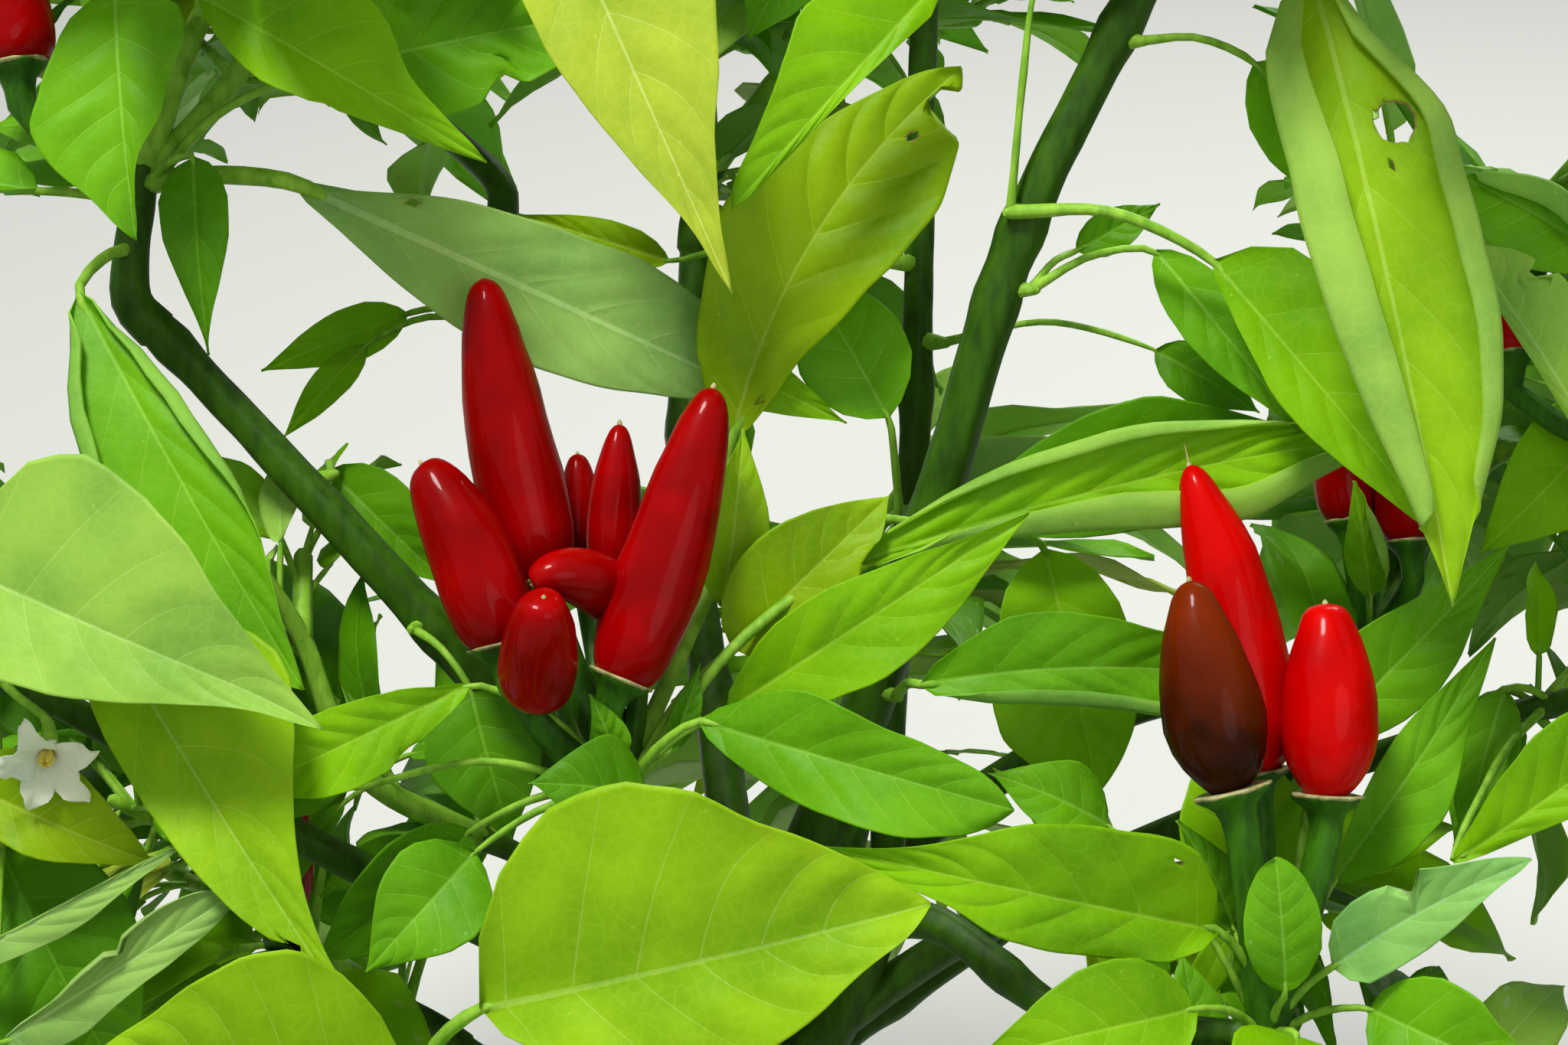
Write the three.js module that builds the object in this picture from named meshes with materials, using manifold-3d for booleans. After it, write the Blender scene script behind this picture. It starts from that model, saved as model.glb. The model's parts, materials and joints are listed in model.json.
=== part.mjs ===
// Chilli pepper plant, rooted in the ground, in millimetres with +Z up.
// The origin is the middle of the flat cut under the trunk, at ground level.
// A woody trunk forks into green boughs. Each bough carries one mass of foliage, whose twigs
// fork in two by a seeded rule. Fruit stand upright in clusters on thick green stalks.
import * as THREE from "three";
import { mergeVertices } from "three/addons/utils/BufferGeometryUtils.js";
import Module from "manifold-3d";

const wasm = await Module();
wasm.setup();

const vec = (x, y, z) => new THREE.Vector3(x, y, z);
const radians = THREE.MathUtils.degToRad;

// Driving dimensions of the trunk and limbs
const FORK_HEIGHT = 190;
const TRUNK_RADIUS = 6.8;
const FLARE = 5.2;
const FLARE_HEIGHT = 15;
const TRUNK_LEAN = 5;
const TRUNK_SIDES = 12;
const LIMB_SIDES = 6;
const LIMB_STEP = 44;
const JOINT_GAP = 0.3;

// Driving dimensions of the foliage
const PETIOLE_RADIUS = 0.85;
const ROOT_DEPTH = 0.5;
const SHORT_LEAF = 45;
const LEAF_THICKNESS = 0.014;
const LEAF_BASE_POWER = 0.75;
const LEAF_TIP_POWER = 1.15;
const LEAF_LENGTH = [50, 78];
const LEAF_WIDTH = 0.44;
const PETIOLE_LENGTH = [12, 22];
const FORK_ANGLE = [20, 44];
const TWIG_LENGTH = [0, 32, 26, 20];
const TWIG_RADIUS = [0, 2.8, 2.5, 2.2];
const TWIG_SPACE = 0.8;
const NODE_LEAVES = 3;
const END_LEAVES = 5;
const LEAF_TRIES = 8;
const TWIG_TRIES = 4;
const LEAF_SPACING = 3.6;
const NODE_STEP = 1.6;
const SPIRAL = radians(137.5);
const SAMPLE_STEP = 8;
const LEAF_GAP = 5;
const OWN_ROOT = 10;
const TWIG_GAP = 3;
const LOWEST_LEAF = 95;
const CROWN_MIDDLE = 45;

// Driving dimensions of the fruit
const FRUIT_SIDES = 6;
const FRUIT_OUTLINE = [[0, 0.72], [0.16, 1], [0.5, 0.93], [0.78, 0.66], [0.94, 0.38]];
const FRUIT_LENGTH = [36, 46];
const FRUIT_WIDTH = [14, 18];
const STALK_SHARE = 0.14;
const FLOWER_RADIUS = 10;
const FLOWER_DEPTH = 5.5;
const CALYX_RADIUS = 0.62;
const FRUIT_DRAW = 6;

// Finish colours
const LIMB_GREEN = 0x3c6a1b;
const BARK_BROWN = 0x5b5a34;
const LEAF_GREEN = 0x6fae26;
const DEEP_RED = 0xb30808;
const BRIGHT_RED = 0xd81408;
const TURNING_BROWN = 0x6b2a12;
const PETAL_CREAM = 0xf2efe0;

// Points on the show side are told in a plane that leans back, as across, up and near:
// how far right of its middle, how far up it, and how far in front of it, all in millimetres
// at that plane, and spread by distance as the eye sees them.
const SHOW_TILT = radians(22);
const SHOW_DISTANCE = 700;
const SHOW_CENTRE = vec(7.5, -11.4, 295);
const SHOW_HALF = { across: 154, up: 104 };
const SHOW_BACK = -22;
const LOOK = vec(0, Math.cos(SHOW_TILT), -Math.sin(SHOW_TILT));
const LIFT = vec(0, Math.sin(SHOW_TILT), Math.cos(SHOW_TILT));
const VIEWER = LOOK.clone().negate();

function seen([across, up, near]) {
  const spread = (SHOW_DISTANCE - near) / SHOW_DISTANCE;
  return SHOW_CENTRE.clone().addScaledVector(LOOK, -near)
    .addScaledVector(vec(1, 0, 0), across * spread).addScaledVector(LIFT, up * spread);
}

function asSeen(point) {
  const from = point.clone().sub(SHOW_CENTRE);
  const near = -from.dot(LOOK);
  const spread = (SHOW_DISTANCE - near) / SHOW_DISTANCE;
  return { across: from.x / spread, up: from.dot(LIFT) / spread, near };
}

// Open windows of the show side: lowest and highest across, lowest and highest up.
const WINDOWS = [
  [-105, -82, 50, 78], [-45, -15, 62, 82], [-93, -66, 19, 50], [-4, 20, 2, 33],
  [34, 45, 32, 92], [38, 90, 25, 78], [67, 91, 70, 104], [21, 45, -43, -32],
  [66, 75, -57, -35], [134, 154, 70, 104],
];

// A loft runs through rings of equal count, and may start or end in a single point.
function loft(rings) {
  const corners = rings.flat();
  const index = [];
  let start = 0;
  rings.slice(0, -1).forEach((ring, i) => {
    const next = rings[i + 1];
    const sides = Math.max(ring.length, next.length);
    const here = (j) => start + (j % sides) % ring.length;
    const there = (j) => start + ring.length + (j % sides) % next.length;
    for (let j = 0; j < sides; j++) {
      if (ring.length > 1) index.push(here(j), here(j + 1), there(j + 1));
      if (next.length > 1) index.push(here(j), there(j + 1), there(j));
    }
    start += ring.length;
  });
  const first = rings[0].length;
  for (let j = 1; j + 1 < first; j++) index.push(0, j + 1, j);
  const last = rings.at(-1).length;
  for (let j = 1; j + 1 < last; j++) index.push(start, start + j, start + j + 1);
  const geometry = new THREE.BufferGeometry().setFromPoints(corners);
  geometry.setIndex(index);
  return geometry;
}

function solid(geometry) {
  const merged = mergeVertices(geometry, 1e-4);
  return new wasm.Manifold(new wasm.Mesh({
    numProp: 3,
    vertProperties: new Float32Array(merged.attributes.position.array),
    triVerts: new Uint32Array(merged.index.array),
  }));
}

// Joined pieces keep their one largest body, so a sealed hollow is filled and scrap is dropped.
function fuse(pieces) {
  const bodies = wasm.Manifold.union(pieces).simplify(0.04).decompose();
  return bodies.reduce((best, body) => (body.volume() > best.volume() ? body : best));
}

function ring(centre, side, rise, radius, sides) {
  return Array.from({ length: sides }, (_, j) => {
    const angle = (2 * Math.PI * j) / sides;
    return centre.clone().addScaledVector(side, radius * Math.cos(angle))
      .addScaledVector(rise, radius * Math.sin(angle));
  });
}

// A tube of changing radius along a smooth curve; radiusAt takes 0 at its start and 1 at its end.
function tube(points, radiusAt, sides, steps, extra = 0) {
  const curve = new THREE.CatmullRomCurve3(points);
  const frames = curve.computeFrenetFrames(steps, false);
  return loft(Array.from({ length: steps + 1 }, (_, i) =>
    ring(curve.getPointAt(i / steps), frames.normals[i], frames.binormals[i],
      radiusAt(i / steps) + extra, sides)));
}

// A run of rings through given points, each with its own radius; the rings keep one side in line.
function run(points, radii, sides, lastWay) {
  let side = vec(0.31, 0.17, 0.93);
  return loft(points.map((point, i) => {
    const way = i === points.length - 1 && lastWay ? lastWay.clone()
      : points[Math.min(i + 1, points.length - 1)].clone().sub(points[Math.max(i - 1, 0)]).normalize();
    side = side.clone().addScaledVector(way, -side.dot(way)).normalize();
    return ring(point, side, way.clone().cross(side), radii[i], sides);
  }));
}

// Everything placed so far is kept as sample points in cells, so that crowding can be tested.
const CELL = 14;
const cells = new Map();
const cellKey = (x, y, z) => `${Math.floor(x / CELL)},${Math.floor(y / CELL)},${Math.floor(z / CELL)}`;

function occupy(points, reach, owner) {
  points.forEach((p) => {
    const key = cellKey(p.x, p.y, p.z);
    if (!cells.has(key)) cells.set(key, []);
    cells.get(key).push({ p, reach, owner });
  });
}

function crowded(points, gap, owner, root) {
  const steps = [-CELL, 0, CELL];
  return points.some((p) => steps.some((dx) => steps.some((dy) => steps.some((dz) =>
    (cells.get(cellKey(p.x + dx, p.y + dy, p.z + dz)) ?? []).some((other) => {
      const ownRoot = other.owner === owner && other.p.distanceTo(root) < OWN_ROOT;
      return !ownRoot && p.distanceTo(other.p) < gap + other.reach;
    })))));
}

// The solids placed so far are kept too, so that a new one stays clear of the other nodes.
const placed = [];

function place(owner, body) {
  placed.push({ owner, body, box: body.boundingBox() });
  return body;
}

function isClear(owner, body) {
  const box = body.boundingBox();
  return placed.every((other) => other.owner === owner
    || [0, 1, 2].some((i) => box.min[i] > other.box.max[i] + 1 || other.box.min[i] > box.max[i] + 1)
    || body.minGap(other.body, 1) > JOINT_GAP);
}

function between(from, to, step) {
  const count = Math.max(1, Math.ceil(from.distanceTo(to) / step));
  return Array.from({ length: count + 1 }, (_, i) => from.clone().lerp(to, i / count));
}

// Trunk and boughs
const limbs = {};
const nodes = [];

function addLimb(name, points, radiusAt, sides) {
  const curve = new THREE.CatmullRomCurve3(points);
  const steps = Math.max(4, Math.round(curve.getLength() / LIMB_STEP));
  const body = solid(tube(points, radiusAt, sides, steps));
  const jacket = solid(tube(points, radiusAt, sides, steps, JOINT_GAP));
  const cut = Object.values(limbs).reduce((rest, other) => rest.subtract(other.jacket), body);
  const kept = cut.decompose().reduce((best, b) => (b.volume() > best.volume() ? b : best));
  const count = Math.ceil(curve.getLength() / SAMPLE_STEP);
  for (let i = 0; i <= count; i++) occupy([curve.getPointAt(i / count)], radiusAt(i / count), name);
  limbs[name] = { curve, jacket, radiusAt };
  nodes.push({ name, body: place(name, kept), colour: LIMB_GREEN });
}

function trunkRadius(t) {
  const height = t * FORK_HEIGHT;
  return TRUNK_RADIUS * (1 - 0.1 * t) + FLARE * Math.exp(-height / FLARE_HEIGHT);
}

function addTrunk() {
  const levels = [0, 6, 14, 28, 60, 100, 140, 172, FORK_HEIGHT];
  const axis = (z) => vec(TRUNK_LEAN * Math.sin((Math.PI * z) / FORK_HEIGHT), 0, z);
  const rings = (extra) => levels.map((z) => {
    const lobes = 0.16 * Math.exp(-z / FLARE_HEIGHT);
    return ring(axis(z), vec(1, 0, 0), vec(0, 1, 0), 1, TRUNK_SIDES).map((corner, j) => {
      const out = corner.sub(axis(z));
      const radius = trunkRadius(z / FORK_HEIGHT) * (1 + lobes * Math.cos(j * Math.PI / 2 + 1)) + extra;
      return axis(z).addScaledVector(out, radius);
    });
  });
  const crown = (extra) => [...rings(extra), [axis(FORK_HEIGHT).add(vec(0, 0, 4 + extra))]];
  limbs.trunk = { jacket: solid(loft(crown(JOINT_GAP))), axis };
  for (let z = 0; z <= FORK_HEIGHT; z += SAMPLE_STEP) occupy([axis(z)], TRUNK_RADIUS, "trunk");
  nodes.push({ name: "trunk", body: place("trunk", solid(loft(crown(0)))), colour: BARK_BROWN });
}

// A bough leaves the trunk at a height, or starts on another bough, and tapers to its tip.
function addBough(name, from, route, radius) {
  const start = typeof from === "number" ? limbs.trunk.axis(from) : from;
  const taper = (t) => radius[0] + (radius[1] - radius[0]) * t;
  addLimb(name, [start, ...route], taper, LIMB_SIDES);
}

addTrunk();
addBough("bough_left", 186, [seen([-40, -52, -34]), seen([-68, -19, -26]), seen([-121, 38, -27])],
  [5.2, 3.7]);
addBough("bough_right", 188, [seen([14, -40, -40]), seen([30, 7, -28]), seen([45, 55, -18]),
  seen([67, 100, -13]), seen([80, 124, -11])], [6, 3.6]);
addBough("bough_middle", 150, [vec(14, 2, 168), seen([18, -78, -50]), seen([20, -35, -48]),
  seen([24, -2, -46]), seen([27, 100, -44]), seen([29, 120, -43])], [4, 2.7]);
addBough("bough_front_left", 183, [vec(-9, -14, 212), seen([-29, -54, -5])], [4.6, 3]);
addBough("bough_front_right", 180, [vec(16, -12, 203), seen([27, -76, -22]), seen([54, -94, -6]),
  seen([88, -98, -2])], [4.4, 2.8]);
addBough("bough_low_front", 158, [vec(-18, -20, 176), vec(-44, -46, 190)], [4, 2.6]);
addBough("bough_outer_left", 170, [vec(-40, -12, 200), vec(-92, -22, 236), vec(-134, -20, 262)],
  [4.4, 2.8]);
addBough("bough_outer_right", 166, [vec(44, 6, 196), vec(98, 6, 226), vec(142, 0, 246)], [4.4, 2.8]);
addBough("bough_back_right", 176, [vec(34, 28, 206), vec(76, 38, 230), vec(104, 40, 238)], [4.6, 3]);
addBough("bough_back", 184, [vec(-6, 36, 224), vec(-14, 76, 272), vec(-12, 100, 316)], [5, 3.2]);
addBough("bough_back_left", 178, [vec(-30, 36, 216), vec(-52, 76, 272), vec(-54, 102, 322)], [4.8, 3]);
addBough("bough_low_back", 140, [vec(10, 34, 158), vec(22, 72, 180)], [4, 2.6]);
addBough("bough_low_left", 126, [vec(-30, 12, 142), vec(-62, 22, 162)], [3.8, 2.6]);
addBough("bough_low_right", 134, [vec(30, -16, 150), vec(62, -32, 166)], [3.8, 2.6]);

addBough("bough_inner_left", 172, [vec(-18, 8, 190), vec(-40, 13, 206)], [3.4, 2.4]);
addBough("bough_inner_right", 160, [vec(24, 8, 174), vec(50, 15, 190)], [3.4, 2.4]);

// A leaf is a thin blade on its petiole, told by its blade's base, its tip and the way that
// its upper side faces. Its outline rises from the base and runs out to a long tip.
function outline(t) {
  const widest = LEAF_BASE_POWER / (LEAF_BASE_POWER + LEAF_TIP_POWER);
  return (t / widest) ** LEAF_BASE_POWER * ((1 - t) / (1 - widest)) ** LEAF_TIP_POWER;
}

function leafShape(root, base, tip, width, face, arch, fold) {
  const length = base.distanceTo(tip);
  const axis = tip.clone().sub(base).normalize();
  const rise = face.clone().addScaledVector(axis, -face.dot(axis)).normalize();
  const side = rise.clone().cross(axis);
  const spine = (t) => base.clone().addScaledVector(axis, length * t)
    .addScaledVector(rise, arch * 4 * t * (1 - t));
  const edge = (t, hand) => {
    const half = (width / 2) * outline(t);
    return spine(t).addScaledVector(side, hand * half * Math.cos(fold))
      .addScaledVector(rise, half * Math.sin(fold));
  };
  return { root, base, tip, length, width, axis, rise, side, spine, edge };
}

function leafSamples(leaf) {
  const rows = Math.ceil(leaf.length / SAMPLE_STEP);
  const points = [leaf.tip];
  for (let i = 0; i < rows; i++) {
    const t = (i + 0.5) / rows;
    const middle = leaf.spine(t);
    points.push(middle);
    [-1, 1].forEach((hand) => {
      const rim = leaf.edge(t, hand);
      points.push(rim, middle.clone().lerp(rim, 0.5));
    });
  }
  return points;
}

// A blade is keeled under its midrib. A leaf told by hand has a petiole and more rings; any other
// runs straight from a point sunk in its twig to its widest ring.
function leafSolid(leaf, fine) {
  const thick = Math.max(1, LEAF_THICKNESS * leaf.length);
  const along = leaf.base.clone().sub(leaf.root).normalize();
  const ringAt = (point, half, depth) => [point.clone().addScaledVector(leaf.side, half),
    point.clone().addScaledVector(leaf.side, -half), point.clone().addScaledVector(leaf.rise, -depth)];
  const blade = (t) => [leaf.edge(t, 1), leaf.edge(t, -1),
    leaf.spine(t).addScaledVector(leaf.rise, -thick)];
  const sunk = leaf.root.clone().addScaledVector(along, -ROOT_DEPTH);
  if (!fine) return solid(loft([[sunk], blade(0.36), [leaf.tip]]));
  const levels = leaf.length > SHORT_LEAF ? [0.2, 0.46, 0.76] : [0.28, 0.62];
  const up = leaf.rise.clone().addScaledVector(along, -leaf.rise.dot(along)).normalize();
  const foot = ring(leaf.root, up.clone().cross(along), up, 0.8 * PETIOLE_RADIUS, 3);
  const neck = ringAt(leaf.base, PETIOLE_RADIUS, PETIOLE_RADIUS);
  return solid(loft([foot, neck, ...levels.map(blade), [leaf.tip]]));
}

// Fruit: a blunt cone with a flat foot, on a stalk that widens into its calyx.
function fruitCurve(foot, tip, bow) {
  const middle = foot.clone().lerp(tip, 0.5).add(bow);
  return new THREE.QuadraticBezierCurve3(foot, middle, tip);
}

function fruitSolid(curve, width) {
  const frames = curve.computeFrenetFrames(20, false);
  const rings = FRUIT_OUTLINE.map(([t, r]) => {
    const i = Math.round(t * 20);
    return ring(curve.getPointAt(t), frames.normals[i], frames.binormals[i], (r * width) / 2, FRUIT_SIDES);
  });
  return solid(loft([...rings, [curve.getPointAt(1)]]));
}

// Its stalk bends up from the node and ends in a calyx cup, face to face with the fruit's foot.
function stalkSolid(node, curve, width) {
  const way = curve.getTangentAt(0);
  const end = curve.getPointAt(0).addScaledVector(way, -JOINT_GAP);
  const neck = end.clone().addScaledVector(way, -4);
  const middle = node.clone().lerp(neck, 0.5).addScaledVector(way, -2);
  const slim = STALK_SHARE * width;
  const radii = [slim, slim, 1.3 * slim, (CALYX_RADIUS * width) / 2];
  return solid(run([node, middle, neck, end], radii, 5, way));
}

// Flower: a nodding star of five petals, thick at its middle and thin at its rim.
function flowerSolid(foot, way) {
  const side = vec(1, 0, 0).cross(way).normalize();
  const rise = way.clone().cross(side);
  const star = (depth, tips, notches) => ring(foot.clone().addScaledVector(way, depth), side, rise, 1, 10)
    .map((corner, j) => {
      const centre = foot.clone().addScaledVector(way, depth);
      return centre.clone().addScaledVector(corner.sub(centre), j % 2 ? notches : tips);
    });
  return solid(loft([[foot], star(2, 2.4, 2.4), star(FLOWER_DEPTH, FLOWER_RADIUS, FLOWER_RADIUS / 2),
    star(3.6, 2, 2), [foot.clone().addScaledVector(way, 3.4)]]));
}

// A mass of foliage has one stem, the leaves and fruit that the show side gives it by hand, and
// twigs that fork by its own seed. It keeps to an ellipsoid: middle, then half sizes.
const masses = [];

function addMass(name, bough, stem, space, seed) {
  const curve = limbs[bough].curve;
  const way = curve.getTangentAt(1);
  const start = curve.getPointAt(1).addScaledVector(way, JOINT_GAP);
  const radius = limbs[bough].radiusAt(1);
  const first = start.clone().addScaledVector(way, 5);
  const points = [start, first, ...stem];
  const path = new THREE.CatmullRomCurve3(points);
  const steps = Math.max(3, Math.round(path.getLength() / 18));
  const taper = (t) => radius + (TWIG_RADIUS[1] - radius) * t;
  const heading = path.getTangentAt(1);
  const mass = { name, seed, space, root: points.at(-1), heading, pieces: [], path, used: 0 };
  mass.pieces.push(place(name, solid(tube(points, taper, 5, steps))));
  occupy(between(first, mass.root, SAMPLE_STEP), TWIG_RADIUS[1], name);
  masses.push(mass);
  return mass;
}

// A spray is a bud on the side of a bough, at a height, with the leaves that grow from it.
function addSpray(name, bough, height, reach) {
  const { curve, jacket } = limbs[bough];
  let along = 0;
  while (along < 1 && curve.getPointAt(along).z < height) along += 0.01;
  const bud = curve.getPointAt(along);
  const end = bud.clone().add(vec(...reach));
  const body = solid(tube([bud, bud.clone().lerp(end, 0.5), end], () => 1.9, 6, 2));
  const shoot = place(name, body.subtract(jacket));
  const mass = { name, root: bud.clone().lerp(end, 0.85), pieces: [shoot] };
  masses.push(mass);
  return mass;
}

function addTwig(mass, from, to, radius) {
  mass.pieces.push(place(mass.name, solid(run([from, to], radius, 3))));
  occupy(between(from, to, SAMPLE_STEP), radius[1], mass.name);
}

// Leaves and stalks of one stem leave it one below the other.
function nodeOn(mass, root) {
  if (root !== mass.root || !mass.path) return root;
  mass.used += 1;
  return mass.path.getPointAt(1 - Math.min(0.6, (NODE_STEP * (mass.used + 1)) / mass.path.getLength()));
}

// Show leaves: root, blade's base, tip, width, turn about the leaf's own axis, arch and fold.
function showLeaf(mass, root, base, tip, width, turn = 0, arch = 4, fold = 12) {
  const axis = seen(tip).sub(seen(base)).normalize();
  const face = VIEWER.clone().applyAxisAngle(axis, radians(turn));
  const leaf = leafShape(nodeOn(mass, root), seen(base), seen(tip), width, face, arch, radians(fold));
  mass.pieces.push(place(mass.name, leafSolid(leaf, true)));
  occupy(leafSamples(leaf), 0, mass.name);
}

const fruits = [];

function showFruit(name, mass, node, foot, tip, width, bow = [0, 0, 0], colour = DEEP_RED) {
  const curve = fruitCurve(seen(foot), seen(tip), vec(...bow));
  mass.pieces.push(place(mass.name, stalkSolid(nodeOn(mass, node), curve, width)));
  fruits.push({ name, body: place(name, fruitSolid(curve, width)), colour });
  for (let i = 0; i <= 8; i++) occupy([curve.getPointAt(i / 8)], width / 2, name);
}

// Left cluster and the leaves round it
const frontLeft = addMass("mass_front_left", "bough_front_left", [seen([-30, -48, -4])],
  [vec(-30, 24, 245), vec(85, 72, 75)], 11);
const leftNode = frontLeft.root;
const riser = seen([-12, -8, -21]);
addTwig(frontLeft, leftNode, riser, [1.9, 1.5]);
showLeaf(frontLeft, leftNode, [-58, -31, 6], [-92, -53, 14], 22, 30);
showLeaf(frontLeft, leftNode, [-16, -38, 6], [44, -55, 20], 27, -25);
showLeaf(frontLeft, leftNode, [-11, -36, 0], [47, 2, 8], 26, 12);
showLeaf(frontLeft, leftNode, [-10, -24, -8], [20, 5, -10], 24, 0, 3);
showLeaf(frontLeft, riser, [-10, 16, -18], [34, 87, -22], 41, 8);
showLeaf(frontLeft, riser, [-12, -16, -14], [-8, 18, -13], 15, 20, 2);
showLeaf(frontLeft, leftNode, [13, -8, -6], [106, 12, -4], 30, -30, 5);
showLeaf(frontLeft, leftNode, [-26, -53, 8], [-49, -50, 16], 20, 25, 3);
showLeaf(frontLeft, leftNode, [-32, -46, 5], [-37, -33, 10], 8, 20, 1);
showLeaf(frontLeft, leftNode, [-59, -63, 2], [-80, -86, 10], 22, 0, 3);
showLeaf(frontLeft, leftNode, [-60, -59, -6], [-90, -84, -4], 22, -20, 3);
showLeaf(frontLeft, leftNode, [-84, -51, -2], [-114, -42, -8], 20, 10, 3);
showLeaf(frontLeft, leftNode, [-22, -44, 0], [-16, -27, -1], 6, 20, 1);
showLeaf(frontLeft, riser, [-20, 34, -27], [12, 19, -23], 12, 0, 3);
showFruit("fruit_left_1", frontLeft, leftNode, [-46, -11, -10], [-57.5, 46.5, -8], 19.5, [2, 0, 2]);
showFruit("fruit_left_2", frontLeft, leftNode, [-30, -30, 4], [-13.5, 26, 2], 18.5, [2, 0, -1]);
showFruit("fruit_left_3", frontLeft, leftNode, [-54, -24, 4], [-69.5, 11.5, 2], 17, [-3, 0, -1]);
showFruit("fruit_left_4", frontLeft, leftNode, [-33, -8, -14], [-31.5, 19, -14], 11);
showFruit("fruit_left_5", frontLeft, leftNode, [-35, -15, -8], [-48.5, -14, 14], 9, [0, -8, 18]);
showFruit("fruit_left_6", frontLeft, leftNode, [-47, -27, 13], [-48, -19, 31], 14.5);
showFruit("fruit_left_7", frontLeft, leftNode, [-39, -6, -24], [-39.5, 13, -25], 9);

// Right cluster and the leaves round it
const frontRight = addMass("mass_front_right", "bough_front_right", [seen([96, -94, -2])],
  [vec(125, 0, 195), vec(90, 80, 75)], 12);
const rightNode = frontRight.root;
showLeaf(frontRight, rightNode, [83, -78, 6], [7, -62, 28], 30, -25);
showLeaf(frontRight, rightNode, [112, -41, -25], [139, -4, -20], 22, 15);
showLeaf(frontRight, rightNode, [105, -69, -14], [136, -22, -10], 24, 20);
showLeaf(frontRight, rightNode, [105, -85, 4], [144, -67, 14], 22, -10);
showLeaf(frontRight, rightNode, [96, -90, 10], [94, -64, 14], 15, 0, 2);
showLeaf(frontRight, rightNode, [86, -78, -6], [75, -57, -4], 12, 30, 2);
showLeaf(frontRight, rightNode, [91, -72, -24], [82, -38, -27], 27, 0);
showLeaf(frontRight, rightNode, [62, -58, -16], [39, -48, -12], 16, 20, 3);
showLeaf(frontRight, rightNode, [79, -93, 12], [36, -103, 20], 25, 10);
showLeaf(frontRight, rightNode, [79, -108, -14], [76, -82, -16], 15, 20, 2);
showLeaf(frontRight, rightNode, [98, -98, 8], [92, -124, 30], 27, 0);
showLeaf(frontRight, rightNode, [112, -93, 4], [146, -108, 20], 28, 10);
showFruit("fruit_right_1", frontRight, rightNode, [90, -48, -9], [77.5, 11, -10], 18, [4, 0, 3], BRIGHT_RED);
showFruit("fruit_right_2", frontRight, rightNode, [86, -52, 8], [78, -11, 8], 19, [-1, 0, 0], TURNING_BROWN);
showFruit("fruit_right_3", frontRight, rightNode, [104, -53, 1], [103.5, -15.5, 1], 17.5, [1, 0, 0],
  BRIGHT_RED);

// Low front: the broad pale leaf and its neighbours
const lowFront = addMass("mass_low_front", "bough_low_front", [seen([-60, -114, 2])],
  [vec(-40, -75, 175), vec(110, 75, 75)], 13);
showLeaf(lowFront, lowFront.root, [-58, -93, 26], [28, -72, 30], 48, 0, 6);
showLeaf(lowFront, lowFront.root, [-72, -110, 14], [-134, -104, 24], 40, 0);

// Left, past the cluster: the broad pale leaf and the long one under it
const outerLeft = addMass("mass_outer_left", "bough_outer_left", [seen([-152, -30, -6])],
  [vec(-180, -10, 275), vec(90, 100, 105)], 14);
const outerLeftLow = seen([-150, -62, -8]);
addTwig(outerLeft, outerLeft.root, outerLeftLow, [1.9, 1.5]);
showLeaf(outerLeft, outerLeft.root, [-159, -8, 16], [-88, -38, 32], 46, 0, 5);
showLeaf(outerLeft, outerLeft.root, [-132, -16, 0], [-82, -95, 20], 40, 10, 5);
showLeaf(outerLeft, outerLeftLow, [-152, -57, 0], [-121, -64, 2], 22, 20);
showLeaf(outerLeft, outerLeftLow, [-158, -84, 2], [-115, -62, 10], 18, 55);
showLeaf(outerLeft, outerLeftLow, [-150, -100, 6], [-105, -71, 14], 20, 40);
showLeaf(outerLeft, outerLeftLow, [-142, -72, -10], [-118, -104, -8], 28, 0);
const flowerFoot = seen([-140.5, -41, 4]);
const flowerWay = LIFT.clone().negate().addScaledVector(VIEWER, 0.5).normalize();
const flowerStalk = [seen([-151, -29, -4]), seen([-147, -33, 0]), seen([-141, -38, 4]),
  flowerFoot.clone().addScaledVector(flowerWay, -JOINT_GAP)];
outerLeft.pieces.push(place("mass_outer_left", solid(run(flowerStalk, [1, 0.9, 0.8, 1.2], 4, flowerWay))));
const flowerBody = place("flower_left", flowerSolid(flowerFoot, flowerWay));
const flower = { name: "flower_left", body: flowerBody, colour: PETAL_CREAM };
occupy([flowerFoot.clone().addScaledVector(flowerWay, 5)], FLOWER_RADIUS, "flower_left");

// Upper left, above the end of its bough
const leftTop = addMass("mass_left_top", "bough_left", [seen([-125, 50, -27]), seen([-122, 68, -26])],
  [vec(-150, 40, 400), vec(105, 105, 110)], 15);
const leftHang = seen([-125, 112, -20]);
addTwig(leftTop, leftTop.root, leftHang, [1.9, 1.5]);
showLeaf(leftTop, leftTop.path.getPointAt(0.5), [-135, 44, -8], [-92, -32, 10], 32, 15, 5);
showLeaf(leftTop, leftTop.root, [-94, 65, -16], [-16, 23, -20], 30, 15, 4, -10);
showLeaf(leftTop, leftTop.root, [-115, 74, -16], [-110, 32, -14], 18, 30);
showLeaf(leftTop, leftTop.root, [-92, 82, -22], [-44, 91, -26], 27, 0);
showLeaf(leftTop, leftHang, [-112, 101, -2], [-57, 69, 8], 30, 15, 5);
showLeaf(leftTop, leftHang, [-128, 102, -4], [-124, 54, 4], 30, 0);
showFruit("fruit_left_top", leftTop, leftTop.root, [-147, 87, -18], [-151, 112, -20], 18);

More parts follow.
